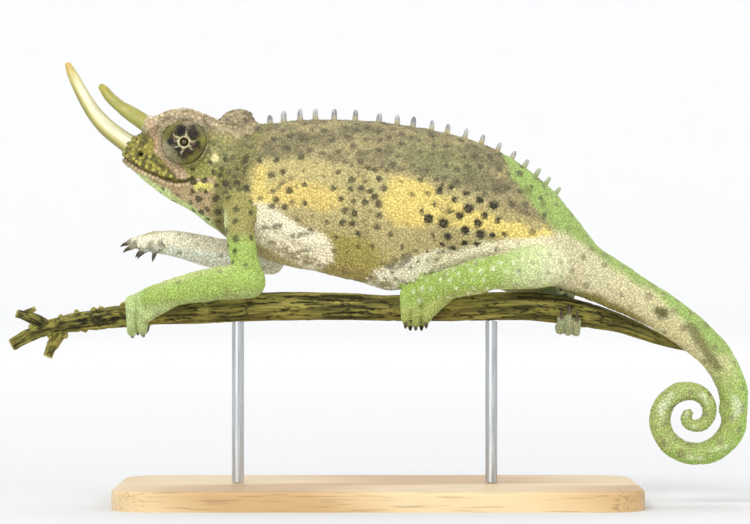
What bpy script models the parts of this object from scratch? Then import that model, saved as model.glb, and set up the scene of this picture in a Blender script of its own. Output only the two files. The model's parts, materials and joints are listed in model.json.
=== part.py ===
# An adult male Jackson's chameleon walking along a cut branch, as a life-size still model on
# a stand. Everything is worked out in millimetres and scaled to metres at the end.
# X runs from head to tail, -Y is the animal's left side, and Z is up from the underside of
# the stand. Each part of the animal is a solid of its own, parted from the next by GAP.

import bpy
import bmesh
import numpy as np
from math import cos, sin, pi, radians
from mathutils import Matrix, Vector

MM = 0.001
GAP = 0.3
HAIRS = (0.0, 0.011, -0.017, 0.029, -0.041)
SLIVERS = (0.02, 0.006, 0.001, 0.0)      # gaps closed up after a cut, the widest first
ROOM = "_room"        # a guide that cuts its neighbours back, deleted at the end
BODY_SIDES = 22

# The body's ribs, from the snout to the tail's last bend. Each is a hoop through one point
# of the back (x, z) and one of the belly (x, z), with its half width, its side shift and how
# sharp its keel is (1 is an ellipse, less is boxy, more is pinched).
RIBS = [
    ("snout", -76.3, 105.4, -76.9, 103.0, 1.6, 0.0, 0.90),
    ("lip", -74.6, 108.3, -75.6, 101.4, 3.6, 0.0, 0.85),
    ("nostril", -71.0, 111.2, -72.8, 98.8, 4.9, 0.0, 0.80),
    ("muzzle", -66.8, 114.4, -69.8, 96.2, 5.8, 0.0, 0.78),
    ("brow", -62.5, 117.0, -66.3, 93.5, 6.8, 0.0, 0.76),
    ("eye", -58.0, 118.2, -62.7, 90.9, 7.7, 0.0, 0.76),
    ("temple", -53.5, 117.1, -58.9, 89.0, 8.6, 0.0, 0.78),
    ("jaw", -49.0, 114.6, -54.9, 86.5, 9.4, 0.0, 0.82),
    ("nape", -44.0, 114.0, -51.0, 83.4, 9.6, 0.0, 0.90),
    ("neck", -38.0, 113.7, -47.4, 81.0, 9.2, 0.0, 1.00),
    ("shoulder", -34.0, 114.0, -44.4, 78.6, 9.9, 0.0, 1.15),
    ("chest", -30.6, 114.4, -40.5, 76.2, 11.0, 0.0, 1.30),
    ("ribs_front", -20.4, 115.4, -29.4, 71.3, 12.4, 0.0, 1.36),
    ("ribs", -12.0, 115.4, -17.4, 68.9, 13.1, 0.0, 1.36),
    ("ribs_middle", -3.0, 115.0, -6.4, 66.2, 13.4, 0.0, 1.36),
    ("flank", 6.6, 113.9, 5.0, 63.5, 13.3, 0.0, 1.36),
    ("flank_rear", 18.6, 111.7, 17.6, 67.2, 12.6, 0.0, 1.36),
    ("loin", 31.0, 108.3, 29.6, 67.2, 11.6, 0.0, 1.32),
    ("pelvis", 43.0, 101.8, 40.0, 66.0, 10.4, 0.0, 1.26),
    ("hip", 53.0, 93.6, 46.5, 65.6, 9.6, 0.0, 1.16),
    ("vent", 60.8, 83.8, 51.5, 65.0, 8.6, -0.1, 1.05),
    ("tail_root", 66.2, 77.0, 57.2, 63.0, 7.6, -0.5, 1.00),
    ("tail_front", 70.4, 74.2, 63.4, 60.5, 6.8, -1.2, 1.00),
    ("tail_mid", 80.1, 67.6, 73.8, 56.2, 5.7, -2.4, 1.00),
    ("tail_rear", 91.2, 60.3, 84.4, 50.7, 5.1, -3.4, 1.00),
    ("tail_drop", 103.2, 49.4, 95.6, 42.4, 4.8, -4.2, 1.00),
    ("tail_fall", 108.5, 40.4, 99.9, 36.8, 4.4, -4.6, 1.00),
    ("tail_hang", 110.6, 33.0, 101.7, 31.6, 4.2, -4.9, 1.00),
]

# The tail's coil turns about COIL_CENTRE (x, z), right, down, left and up. These are its
# distance from there and its half thickness at each quarter turn.
COIL_CENTRE = (94.4, 26.1)
COIL_RADIUS = [12.1, 11.0, 10.3, 7.5, 4.1, 2.7, 2.6, 1.4]
COIL_HALF = [4.4, 3.6, 3.4, 3.0, 2.5, 2.2, 1.8, 1.1]
COIL_TURNS = 1.7
COIL_SIDE = -5.0

# The branch, as (x, y, z, radius) from the broken end ahead of the hand to the thin end
# beside the tail, with the two broken twigs of its forked end.
BRANCH = [
    (-110.0, 0.0, 47.4, 2.0), (-104.0, 0.0, 50.6, 2.2), (-97.5, 0.0, 53.0, 2.5),
    (-86.4, 0.0, 54.8, 3.0), (-76.5, 0.0, 56.0, 3.4), (-65.4, 0.0, 57.2, 3.8),
    (-53.4, 0.0, 58.0, 4.1), (-33.0, 0.0, 59.0, 4.3), (-11.4, 0.0, 59.0, 4.2),
    (3.6, 0.0, 58.5, 4.0), (24.6, 0.0, 58.8, 4.2), (46.5, 0.3, 59.0, 4.4),
    (60.6, 2.2, 56.8, 4.0), (72.6, 4.0, 53.8, 2.9), (83.4, 4.8, 49.6, 1.95),
    (91.5, 5.6, 46.9, 1.2), (96.0, 5.8, 46.0, 0.8),
]
UPPER_TWIG = [(-98.5, 0.0, 52.6, 2.2), (-103.2, -0.6, 54.9, 2.0), (-108.2, -0.8, 57.0, 1.1)]
UPPER_SPUR = [(-106.0, -0.6, 56.8, 1.2), (-102.2, -0.2, 58.3, 0.6)]
LOWER_TWIG = [(-94.5, 0.0, 52.8, 2.2), (-97.0, 0.8, 48.4, 2.1), (-99.2, 1.4, 44.0, 1.5)]
KNOBS = [(-90.8, 0.0, 56.6, 1.2), (-78.6, 0.3, 59.3, 1.0), (-99.2, 0.6, 48.2, 1.3)]

# Horns and eyes. The left ones; the right ones mirror them.
NOSE_HORN = [(-73.4, 0.0, 106.8, 3.0), (-77.2, 0.0, 109.4, 2.8), (-81.6, 0.0, 112.9, 2.6),
             (-85.4, 0.0, 117.3, 2.3), (-88.7, 0.0, 122.7, 1.95), (-91.5, 0.0, 128.2, 1.6),
             (-92.9, 0.0, 131.3, 1.0)]
BROW_HORN = [(-66.0, -4.6, 112.0, 2.7), (-70.0, -4.8, 114.4, 2.5), (-74.4, -5.1, 117.0, 2.2),
             (-77.0, -5.3, 118.8, 1.8), (-80.2, -5.5, 121.6, 1.5), (-82.3, -5.6, 124.4, 1.1)]
EYE_CENTRE = (-58.3, -7.4, 108.4)
EYE_AXIS = (-0.10, -1.0, 0.03)
EYE_PROFILE = [(3.0, -4.4), (5.2, -3.0), (6.5, -0.6), (6.5, 1.2), (5.7, 3.2), (4.3, 4.9),
               (2.6, 5.9), (1.5, 6.2)]                   # radius, distance out along the axis
EYE_SIDES, PUPIL_RADIUS, PUPIL_DEPTH = 16, 1.0, 1.8

# The rim over each eye, from the brow horn to the back of the head, and the casque's lobe.
BROW_RIM = [(-69.0, -3.6, 112.4, 1.7), (-64.0, -5.3, 115.6, 1.7), (-58.0, -6.0, 117.0, 1.6),
            (-51.8, -5.2, 115.4, 1.5), (-46.8, -3.6, 113.4, 1.5)]
CASQUE_CENTRE, CASQUE_SIZE = (-42.0, 0.0, 113.2), (5.9, 5.4, 4.8)

# The mouth runs back from the snout to its corner, then the cut turns down to the throat.
MOUTH_LINE = [(-79.0, 104.6), (-75.9, 103.7), (-68.4, 100.0), (-60.9, 96.2), (-56.2, 94.2),
              (-53.4, 90.6), (-51.6, 86.0), (-50.2, 78.0)]

MOUTH_GAP = (0.2, 0.0, 0.26)                             # from the jaw up and back to the head

# Limbs, as (x, y, z, radius). Left and right are the animal's own.
ARM_LEFT = [(-41.0, -6.0, 91.0, 4.8), (-41.2, -10.8, 85.0, 4.7), (-40.2, -13.4, 76.5, 4.4),
            (-38.0, -14.6, 67.6, 4.4)]
FOREARM_LEFT = [(-38.2, -14.8, 66.6, 5.4), (-45.0, -14.6, 66.2, 5.3), (-54.0, -12.6, 64.8, 4.8),
                (-63.0, -9.4, 62.9, 4.1), (-67.8, -7.4, 61.6, 3.6)]
PALM_LEFT = [(-68.8, -6.6, 61.2, 3.3), (-72.0, -3.4, 59.8, 3.2), (-72.4, 1.8, 59.4, 3.0)]
ARM_RIGHT = [(-40.0, 6.0, 90.0, 4.6), (-38.6, 11.0, 84.0, 4.4), (-35.4, 14.0, 77.0, 4.0),
             (-33.0, 15.0, 73.0, 3.8)]
FOREARM_RIGHT = [(-32.6, 15.0, 72.6, 4.3), (-40.0, 15.0, 73.2, 4.8), (-51.0, 13.6, 75.4, 4.9),
                 (-60.0, 12.2, 77.6, 4.3), (-64.0, 11.8, 78.0, 4.0)]
PALM_RIGHT = [(-64.2, 11.8, 77.9, 3.8), (-67.8, 11.4, 78.4, 3.6), (-70.6, 11.2, 78.5, 2.8)]
THIGH_LEFT = [(53.0, -2.0, 72.0, 7.2), (46.5, -9.0, 70.8, 6.6), (38.0, -14.2, 69.6, 5.6),
              (31.6, -16.2, 68.8, 5.0)]
SHANK_LEFT = [(30.6, -16.2, 68.4, 5.5), (25.0, -12.8, 66.8, 5.1), (18.6, -8.4, 65.2, 4.6),
              (14.6, -5.6, 63.8, 4.2)]
SOLE_LEFT = [(14.4, -5.6, 63.0, 3.9), (12.0, -3.6, 62.2, 3.9), (11.2, 0.8, 62.2, 3.3)]
THIGH_RIGHT = [(53.0, 2.0, 72.0, 7.2), (47.5, 9.0, 70.8, 6.4), (41.5, 14.2, 69.8, 5.4),
               (38.0, 16.2, 69.2, 4.8)]
SHANK_RIGHT = [(37.6, 16.2, 69.0, 5.2), (43.0, 14.0, 66.6, 4.8), (49.0, 10.8, 63.8, 4.1),
               (53.4, 8.2, 61.4, 3.6)]
SOLE_RIGHT = [(53.8, 8.0, 61.2, 3.4), (56.6, 6.6, 57.4, 3.5), (57.6, 4.9, 53.4, 3.0)]

# Gripping toes run round the branch. Each bundle has its places along X, the angles where it
# starts and ends (0 is the top of the branch, positive towards -Y) and its toes' radius.
GRIPS = {
    "hand_left": (PALM_LEFT, [("toes_outer", (-73.7, -70.2), 40, 156, 1.95),
                             ("toes_inner", (-75.1, -72.2, -69.3), -40, -140, 1.6)]),
    "foot_left": (SOLE_LEFT, [("toes_outer", (8.0, 11.3, 14.6), 42, 140, 1.85),
                             ("toes_inner", (9.6, 13.2), -42, -140, 1.95)]),
    "foot_right": (SOLE_RIGHT, [("toes_outer", (54.6, 57.1, 59.6), -150, -262, 1.6),
                               ("toes_inner", (54.8, 58.0), -72, 2, 1.7)]),
}
# The raised hand's toes reach forward and down, each from its root to its tip (x, y, z).
OPEN_TOES = {
    "toes_outer": [((-69.6, 13.2, 79.0), (-73.2, 13.9, 78.9), (-75.8, 14.4, 78.1)),
                   ((-69.8, 11.0, 78.5), (-73.0, 11.5, 77.9), (-75.0, 11.8, 76.8))],
    "toes_inner": [((-68.0, 8.9, 77.4), (-70.0, 8.2, 76.6), (-70.9, 8.0, 75.6)),
                   ((-66.0, 8.9, 77.2), (-67.3, 8.1, 76.0), (-67.5, 7.8, 75.2)),
                   ((-68.8, 10.4, 77.6), (-70.8, 10.6, 76.7), (-71.6, 10.6, 75.9))],
}
OPEN_TOE_RADIUS = 1.5
CLAW_LENGTH, CLAW_RADIUS = 2.3, 0.75

# The crest's spines, by their places along X; they shorten towards the hip.
CREST = [-32.1, -28.2, -23.8, -18.7, -12.9, -6.5, 0.4, 6.0, 11.0, 16.4, 21.2, 26.3, 31.5, 36.4,
         40.5, 44.1, 47.5, 50.7, 53.7]
CREST_HEIGHT = (3.9, 2.5)

STAND_SIZE, STAND_CORNER, STAND_EDGE = (156.0, 72.0, 6.0), 12.0, 1.0
ROD_RADIUS, ROD_PLACES = 1.8, (("stand_rod_front", -42.0), ("stand_rod_rear", 34.0))


# ---- shapes ------------------------------------------------------------------------------

def smooth_rows(rows, steps):
    """Rows of numbers with `steps` even places between each two, on a Catmull-Rom curve."""
    rows = [np.array(row, float) for row in rows]
    padded = [2 * rows[0] - rows[1]] + rows + [2 * rows[-1] - rows[-2]]
    result = []
    for a, b, c, d in zip(padded, padded[1:], padded[2:], padded[3:]):
        for step in range(steps):
            t = step / steps
            result.append(0.5 * (2 * b + (c - a) * t + (2 * a - 5 * b + 4 * c - d) * t ** 2
                                 + (3 * b - a - 3 * c + d) * t ** 3))
    return [[float(value) for value in row] for row in result + [rows[-1]]]


def solid_from_rings(name, rings):
    """A closed solid through rings of equal count, with a flat cap at each end."""
    count = len(rings[0])
    shape = bmesh.new()
    loops = [[shape.verts.new(point) for point in ring] for ring in rings]
    for first, second in zip(loops, loops[1:]):
        for i in range(count):
            j = (i + 1) % count
            shape.faces.new((first[i], first[j], second[j], second[i]))
    shape.faces.new(loops[0][::-1])
    shape.faces.new(loops[-1])
    bmesh.ops.recalc_face_normals(shape, faces=shape.faces)
    return new_object(name, shape)


def new_object(name, shape):
    mesh = bpy.data.meshes.new(name)
    shape.to_mesh(mesh)
    shape.free()
    item = bpy.data.objects.new(name, mesh)
    bpy.context.scene.collection.objects.link(item)
    return item


def tube(name, points, sides, steps=2, domed=True, grow=0.0):
    """A round limb through (x, y, z, radius) points, with domed ends."""
    rows = smooth_rows(points, steps)
    centres = [Vector(row[:3]) for row in rows]
    radii = [row[3] + grow for row in rows]
    ways = [(b - a).normalized() for a, b in zip(centres, centres[1:])]
    ways = [ways[0]] + [(a + b).normalized() for a, b in zip(ways, ways[1:])] + [ways[-1]]
    if domed:
        head = [(centres[0] - ways[0] * radii[0] * sin(a), radii[0] * cos(a), ways[0])
                for a in (radians(68), radians(36))]
        tail = [(centres[-1] + ways[-1] * radii[-1] * sin(a), radii[-1] * cos(a), ways[-1])
                for a in (radians(36), radians(68))]
    else:
        head, tail = [], []
    stations = head + list(zip(centres, radii, ways)) + tail
    across = Vector((1, 0, 0)) if abs(ways[0].x) < 0.7 else Vector((0, 0, 1))
    rings = []
    for centre, radius, way in stations:
        across = (across - way * across.dot(way)).normalized()
        other = way.cross(across)
        turns = [2 * pi * i / sides for i in range(sides)]
        rings.append([centre + radius * (across * cos(a) + other * sin(a)) for a in turns])
    return solid_from_rings(name, rings)


def lathe(name, profile, sides, centre, axis):
    """A turned solid from (radius, height) pairs, its axis through `centre`."""
    turn = Vector(axis).to_track_quat("Z", "Y").to_matrix()
    rings = []
    for radius, height in profile:
        turns = [2 * pi * i / sides for i in range(sides)]
        rings.append([Vector(centre) + turn @ Vector((radius * cos(a), radius * sin(a), height))
                      for a in turns])
    return solid_from_rings(name, rings)


def block(name, outline, half_depth):
    """An (x, z) outline carried through along Y."""
    return solid_from_rings(name, [[Vector((x, y, z)) for x, z in outline]
                                   for y in (-half_depth, half_depth)])


def ball(name, centre, size, sides=16):
    shape = bmesh.new()
    bmesh.ops.create_uvsphere(shape, u_segments=sides, v_segments=sides // 2, radius=1.0)
    bmesh.ops.scale(shape, vec=size, verts=shape.verts)
    bmesh.ops.translate(shape, vec=centre, verts=shape.verts)
    return new_object(name, shape)


# ---- joining and parting -----------------------------------------------------------------

def bake(item):
    """Turn an object's modifiers into its mesh."""
    graph = bpy.context.evaluated_depsgraph_get()
    mesh = bpy.data.meshes.new_from_object(item.evaluated_get(graph))
    item.modifiers.clear()
    item.data = mesh


def boolean(item, tools, operation):
    """Join, cut or keep what is shared with each tool in turn. Where faces happen to fall on
    one another the result can come out broken, so the tool is shifted a hair and used again."""
    for tool in tools:
        start, place = item.data, tool.location.copy()
        for hair in HAIRS:
            item.data = start.copy()
            tool.location = place + Vector((hair, 0.7 * hair, -0.4 * hair))
            step = item.modifiers.new(operation.title(), "BOOLEAN")
            step.operation = operation
            step.solver = "EXACT"
            step.object = tool
            bake(item)
            tidy_faces(item)
            if is_sound(item.data, start, operation):
                break
        tool.location = place
    return item


def is_sound(mesh, before, operation):
    """Whether a result is closed and has grown or shrunk as its operation should make it."""
    (closed, volume), (_, volume_before) = measure(mesh), measure(before)
    if operation == "UNION":
        return closed and volume >= volume_before * 0.999
    return closed and 0 < volume <= volume_before * 1.001


def measure(mesh):
    shape = bmesh.new()
    shape.from_mesh(mesh)
    closed = len(shape.faces) > 3 and all(edge.is_manifold for edge in shape.edges)
    volume = shape.calc_volume()
    shape.free()
    return closed, volume


def tidy_faces(item):
    """Triangles throughout, with the slivers that a cut leaves closed up where that is safe."""
    for reach in SLIVERS:
        shape = bmesh.new()
        shape.from_mesh(item.data)
        if reach:
            bmesh.ops.remove_doubles(shape, verts=shape.verts, dist=reach)
            bmesh.ops.dissolve_degenerate(shape, edges=shape.edges, dist=reach)
        bmesh.ops.triangulate(shape, faces=shape.faces)
        closed = len(shape.faces) > 3 and all(edge.is_manifold for edge in shape.edges)
        if closed or reach == SLIVERS[-1]:
            shape.to_mesh(item.data)
        shape.free()
        if closed:
            break


def join(item, tools):
    """Add the tools to a solid, and use them up."""
    boolean(item, tools, "UNION")
    for tool in tools:
        bpy.data.objects.remove(tool)
    return item


def make_room(item, rooms):
    """Cut a solid back by its neighbours' rooms: their own shapes, grown by GAP."""
    boolean(item, rooms, "DIFFERENCE")
    drop_crumbs(item)
    return item


def tube_and_room(name, points, sides, steps=2, domed=True):
    return [tube(name + end, points, sides, steps, domed, grow)
            for end, grow in (("", 0.0), (ROOM, GAP))]


def drop_crumbs(item):
    """Keep the largest body of a solid and delete the small ones that a cut left."""
    shape = bmesh.new()
    shape.from_mesh(item.data)
    unseen = set(shape.verts)
    bodies = []
    while unseen:
        body, front = set(), [unseen.pop()]
        while front:
            vert = front.pop()
            body.add(vert)
            near = [edge.other_vert(vert) for edge in vert.link_edges]
            fresh = [other for other in near if other in unseen]
            unseen.difference_update(fresh)
            front.extend(fresh)
        bodies.append(body)
    bodies.sort(key=body_span)
    for body in bodies[:-1]:
        bmesh.ops.delete(shape, geom=list(body), context="VERTS")
    shape.to_mesh(item.data)
    shape.free()


def body_span(body):
    points = np.array([vert.co for vert in body])
    return float(np.prod(points.max(axis=0) - points.min(axis=0)))


# ---- the body ----------------------------------------------------------------------------

def coil_rows(steps):
    """Ribs of the coil, `steps` to each quarter turn, its back on the outside."""
    table = smooth_rows(list(zip(COIL_RADIUS, COIL_HALF)), steps)
    count = int(COIL_TURNS * 4 * steps)
    rows = []
    for i in range(count + 1):
        turn = i / (4 * steps)
        radius, half = table[i]
        way = (cos(2 * pi * turn), -sin(2 * pi * turn))
        outer = [COIL_CENTRE[k] + way[k] * (radius + half) for k in (0, 1)]
        inner = [COIL_CENTRE[k] + way[k] * (radius - half) for k in (0, 1)]
        rows.append((*outer, *inner, half * 0.92, COIL_SIDE, 1.0))
    return rows


def rib_ring(row, sides, grow=0.0):
    """The hoop of one rib: pinched towards the back as its keel asks, less so at the belly."""
    top, low = Vector((row[0], row[5], row[1])), Vector((row[2], row[5], row[3]))
    middle, half = (top + low) / 2, (top - low) / 2
    half += half.normalized() * grow
    ring = []
    for i in range(sides):
        angle = 2 * pi * i / sides
        keel = row[6] if cos(angle) > 0 else (1.0 + row[6]) / 2
        side = (row[4] + grow) * abs(sin(angle)) ** keel * (1 if sin(angle) > 0 else -1)
        ring.append(middle + half * cos(angle) + Vector((0, side, 0)))
    return ring


def body_length(name, rows, sides, gap_before=True, gap_after=True):
    """One length of the body, its ends drawn back by half of GAP."""
    rings = [rib_ring(row, sides) for row in rows]
    centres = [sum(ring, Vector()) / sides for ring in rings]
    if gap_before:
        back = (centres[1] - centres[0]).normalized() * GAP / 2
        rings[0] = [point + back for point in rings[0]]
    if gap_after:
        back = (centres[-2] - centres[-1]).normalized() * GAP / 2
        rings[-1] = [point + back for point in rings[-1]]
    return solid_from_rings(name, rings)


def ribs_between(first, last, steps):
    """Smooth ribs from one named rib to another, curved as the whole body is."""
    names = [rib[0] for rib in RIBS]
    rows = smooth_rows([rib[1:] for rib in RIBS] + coil_rows(1)[:2], steps)
    return rows[names.index(first) * steps:names.index(last) * steps + 1]


def back_height(x):
    tops = [(rib[1], rib[2]) for rib in RIBS]
    return float(np.interp(x, [top[0] for top in tops], [top[1] for top in tops]))


def spine(x):
    """One blunt cone of the crest, square to the back."""
    share = (x - CREST[0]) / (CREST[-1] - CREST[0])
    slope = (back_height(x + 1) - back_height(x - 1)) / 2
    height = CREST_HEIGHT[0] + (CREST_HEIGHT[1] - CREST_HEIGHT[0]) * share
    profile = [(1.05, -1.4), (0.9, height * 0.6), (0.45, height)]
    return lathe("spine", profile, 5, (x, 0, back_height(x)), (-0.6 * slope, 0, 1))


def body_room():
    """The whole body from snout to tail root, grown, to cut the limbs by."""
    rows = ribs_between("snout", "vent", 1) + ribs_between("vent", "tail_mid", 2)[1:]
    return solid_from_rings("body" + ROOM, [rib_ring(row, BODY_SIDES, GAP) for row in rows])


def make_trunk():
    neck = body_length("neck", ribs_between("neck", "chest", 1), BODY_SIDES)
    trunk = body_length("trunk", ribs_between("chest", "vent", 1), BODY_SIDES)
    join(neck, [spine(CREST[0])])
    join(trunk, [spine(x) for x in CREST[1:]])
    return neck, trunk


def make_tail():
    body_length("tail_base", ribs_between("vent", "tail_mid", 2), BODY_SIDES)
    body_length("tail_middle", ribs_between("tail_mid", "tail_fall", 2), 14)
    coil = coil_rows(3)
    last_bend = ribs_between("tail_fall", "tail_hang", 2) + coil[:5]
    body_length("tail_bend", last_bend, 12)
    body_length("tail_coil", coil[4:], 12, gap_after=False)


# ---- the head ----------------------------------------------------------------------------

def mirrored(points):
    return [(x, -y, *rest) for x, y, *rest in points]


def make_horns():
    """Three horns; returns the rooms that they need in the head."""
    nose = tube_and_room("horn_nose", NOSE_HORN, 12, steps=1)
    left = tube_and_room("horn_brow_left", BROW_HORN, 10, steps=1)
    right = tube_and_room("horn_brow_right", mirrored(BROW_HORN), 10, steps=1)
    return [nose[1], left[1], right[1]]


def make_eye(side, sign):
    """The scaly eye turret, and the ball that shows in the pinhole at its tip."""
    centre = (EYE_CENTRE[0], EYE_CENTRE[1] * sign, EYE_CENTRE[2])
    axis = (EYE_AXIS[0], EYE_AXIS[1] * sign, EYE_AXIS[2])
    tip = EYE_PROFILE[-1][1]
    hole = PUPIL_RADIUS + GAP
    bore = [(hole + 0.15, tip + 0.05), (hole, tip), (hole, tip - PUPIL_DEPTH)]
    lathe(f"eye_{side}", EYE_PROFILE + bore, EYE_SIDES, centre, axis)
    floor = tip - PUPIL_DEPTH + GAP
    dome = [(PUPIL_RADIUS, floor), (PUPIL_RADIUS, tip - 0.4), (PUPIL_RADIUS * 0.6, tip - 0.1)]
    lathe(f"eyeball_{side}", dome, 10, centre, axis)
    room = [(radius + GAP, height) for radius, height in EYE_PROFILE]
    room[0] = (room[0][0], room[0][1] - GAP)
    return lathe(f"eye_{side}{ROOM}", room, EYE_SIDES, centre, axis)


def make_head(rooms, neck):
    head = body_length("head", ribs_between("snout", "neck", 1), BODY_SIDES, gap_before=False)
    jaw = body_length("lower_jaw", ribs_between("snout", "neck", 1), BODY_SIDES, gap_before=False)
    lobe = ball("casque", CASQUE_CENTRE, CASQUE_SIZE, 14)
    lobe_room = ball("casque" + ROOM, CASQUE_CENTRE, [size + GAP for size in CASQUE_SIZE], 14)
    rims = [tube("rim", points, 7, steps=1) for points in (BROW_RIM, mirrored(BROW_RIM))]
    mouth = block("mouth" + ROOM, MOUTH_LINE + [(-84.0, 78.0), (-84.0, 104.6)], 20)
    make_room(neck, [lobe_room])
    join(head, [lobe] + rims)
    boolean(jaw, [mouth], "INTERSECT")
    mouth.location = MOUTH_GAP
    make_room(head, [mouth] + rooms)
    drop_crumbs(jaw)


# ---- the branch and the stand ------------------------------------------------------------

def branch_at(x):
    """The branch's centre and radius at a place along it."""
    places = [row[0] for row in BRANCH]
    return [float(np.interp(x, places, [row[k] for row in BRANCH])) for k in (1, 2, 3)]


def make_branch():
    branch, room = tube_and_room("perch_branch", BRANCH, 12, steps=1, domed=False)
    twigs = [tube("twig", points, 7, steps=1, domed=False)
             for points in (UPPER_TWIG, UPPER_SPUR, LOWER_TWIG)]
    knobs = [ball("knob", place[:3], (place[3] * 1.3, place[3], place[3]), 8) for place in KNOBS]
    join(branch, twigs + knobs)
    return room


def make_stand(branch_room):
    shape = bmesh.new()
    bmesh.ops.create_cube(shape, size=1.0)
    bmesh.ops.scale(shape, vec=STAND_SIZE, verts=shape.verts)
    bmesh.ops.translate(shape, vec=(0, 0, STAND_SIZE[2] / 2), verts=shape.verts)
    upright = [edge for edge in shape.edges if abs(edge.verts[0].co.z - edge.verts[1].co.z) > 1]
    bmesh.ops.bevel(shape, geom=upright, offset=STAND_CORNER, segments=6, profile=0.5,
                    affect="EDGES")
    top = STAND_SIZE[2] - 0.1
    upper = [edge for edge in shape.edges if min(vert.co.z for vert in edge.verts) > top]
    bmesh.ops.bevel(shape, geom=upper, offset=STAND_EDGE, segments=2, profile=0.5,
                    affect="EDGES")
    new_object("stand_base", shape)
    for name, x in ROD_PLACES:
        side, height, radius = branch_at(x)
        profile = [(ROD_RADIUS, STAND_SIZE[2] + GAP), (ROD_RADIUS, height)]
        make_room(lathe(name, profile, 16, (x, side, 0), (0, 0, 1)), [branch_room])


# ---- the limbs ---------------------------------------------------------------------------

def claw(name, start, way, droop):
    """A short hooked claw from a toe's end, turning as it goes from `way` to `droop`."""
    start, way, droop = Vector(start), Vector(way).normalized(), Vector(droop).normalized()
    middle = start + way * CLAW_LENGTH * 0.55
    end = middle + (way + droop).normalized() * CLAW_LENGTH * 0.5
    points = [(*(start - way * 0.8), CLAW_RADIUS), (*middle, CLAW_RADIUS * 0.75),
              (*end, CLAW_RADIUS * 0.35)]
    return tube(name, points, 5, steps=1, domed=False)


def grip_toe(name, x, start, end, radius):
    """A toe that hugs the branch from one angle round it to another, with its claw."""
    side, height, thickness = branch_at(x)
    orbit = thickness + GAP + radius
    points = []
    for i in range(5):
        share = i / 4
        angle = radians(start + (end - start) * share)
        slim = radius * (1.0 - 0.18 * share)
        reach = orbit - (radius - slim)
        points.append((x, side - reach * sin(angle), height + reach * cos(angle), slim))
    angle, sense = radians(end), 1 if end > start else -1
    along = Vector((0, -cos(angle) * sense, -sin(angle) * sense))
    inward = Vector((0, sin(angle), -cos(angle)))
    outer = Vector(points[-1][:3]) - inward * radius * 0.35 + along * radius * 0.5
    return [tube(name, points, 6, steps=1), claw("claw", outer, along, along + inward * 0.8)]


def open_toe(name, points):
    root, middle, tip = (Vector(point) for point in points)
    radii = (OPEN_TOE_RADIUS * 1.15, OPEN_TOE_RADIUS, OPEN_TOE_RADIUS * 0.75)
    rows = [(*point, radius) for point, radius in zip((root, middle, tip), radii)]
    way = (tip - middle).normalized()
    start = tip + way * OPEN_TOE_RADIUS * 0.4
    return [tube(name, rows, 6, steps=1), claw("claw", start, way, way + Vector((0, 0, -0.8)))]


def bundle(name, shapes, rooms):
    """Toes bound together in one mitten, cut clear of the palm and what they hold."""
    join(shapes[0], shapes[1:])
    shapes[0].name = name
    make_room(shapes[0], rooms)


def gripping_foot(name, rooms):
    """A palm on the branch and the toes that hug it; returns the palm's room."""
    palm_points, bundles = GRIPS[name]
    palm, palm_room = tube_and_room(name, palm_points, 10)
    make_room(palm, rooms)
    for toes, places, start, end, radius in bundles:
        shapes = []
        for x in places:
            shapes += grip_toe("toe", x, start, end, radius)
        bundle(f"{name}_{toes}", shapes, [palm_room] + rooms)
    return palm_room


def open_hand():
    palm_room = tube_and_room("hand_right", PALM_RIGHT, 10)[1]
    for toes, chains in OPEN_TOES.items():
        shapes = []
        for points in chains:
            shapes += open_toe("toe", points)
        bundle(f"hand_right_{toes}", shapes, [palm_room])
    return palm_room


def limb(upper_name, upper, lower_name, lower, palm_room, rooms):
    """Two lengths of a limb, each cut clear of the one it bends against."""
    low, low_room = tube_and_room(lower_name, lower, 10)
    make_room(low, [palm_room] + rooms)
    make_room(tube(upper_name, upper, 10), [low_room] + rooms)


# ---- finish ------------------------------------------------------------------------------

LOOKS = [                                    # name starts with, colour, roughness, metallic
    ("stand_rod", (0.55, 0.55, 0.57), 0.35, 1.0),
    ("stand", (0.62, 0.50, 0.36), 0.55, 0.0),
    ("perch", (0.22, 0.19, 0.06), 0.80, 0.0),
    ("horn", (0.50, 0.48, 0.26), 0.45, 0.0),
    ("eyeball", (0.01, 0.01, 0.01), 0.08, 0.0),
    ("eye", (0.12, 0.10, 0.06), 0.60, 0.0),
    ("head", (0.42, 0.38, 0.20), 0.60, 0.0),
    ("lower_jaw", (0.45, 0.48, 0.20), 0.60, 0.0),
    ("neck", (0.36, 0.34, 0.18), 0.60, 0.0),
    ("trunk", (0.48, 0.43, 0.20), 0.60, 0.0),
    ("", (0.34, 0.56, 0.10), 0.60, 0.0),
]


# The share of triangles kept where joins and cuts leave more than a shape needs.
KEPT_FACES = {"toes": 0.58, "head": 0.54, "perch": 0.62, "trunk": 0.8, "arm": 0.8,
              "thigh": 0.75, "shank": 0.8, "eye_": 0.8}


def paint(item):
    start, colour, roughness, metallic = next(row for row in LOOKS if item.name.startswith(row[0]))
    name = (start or "limb") + "_finish"
    finish = bpy.data.materials.get(name)
    if finish is None:
        finish = bpy.data.materials.new(name)
        finish.use_nodes = True
        surface = finish.node_tree.nodes["Principled BSDF"]
        surface.inputs["Base Color"].default_value = (*colour, 1.0)
        surface.inputs["Roughness"].default_value = roughness
        surface.inputs["Metallic"].default_value = metallic
    item.data.materials.clear()
    item.data.materials.append(finish)


def thin_out(item, share):
    """Keep this share of a solid's triangles."""
    step = item.modifiers.new("Decimate", "DECIMATE")
    step.ratio = share
    bake(item)


def finish(item):
    """Triangles, in metres, shaded smooth with the sharp edges kept."""
    tidy_faces(item)
    share = next((kept for part, kept in KEPT_FACES.items() if part in item.name), 1.0)
    if share < 1.0:
        thin_out(item, share)
    item.data.transform(Matrix.Scale(MM, 4))
    item.data.shade_smooth()
    item.data.set_sharp_from_angle(angle=radians(50))
    paint(item)


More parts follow.
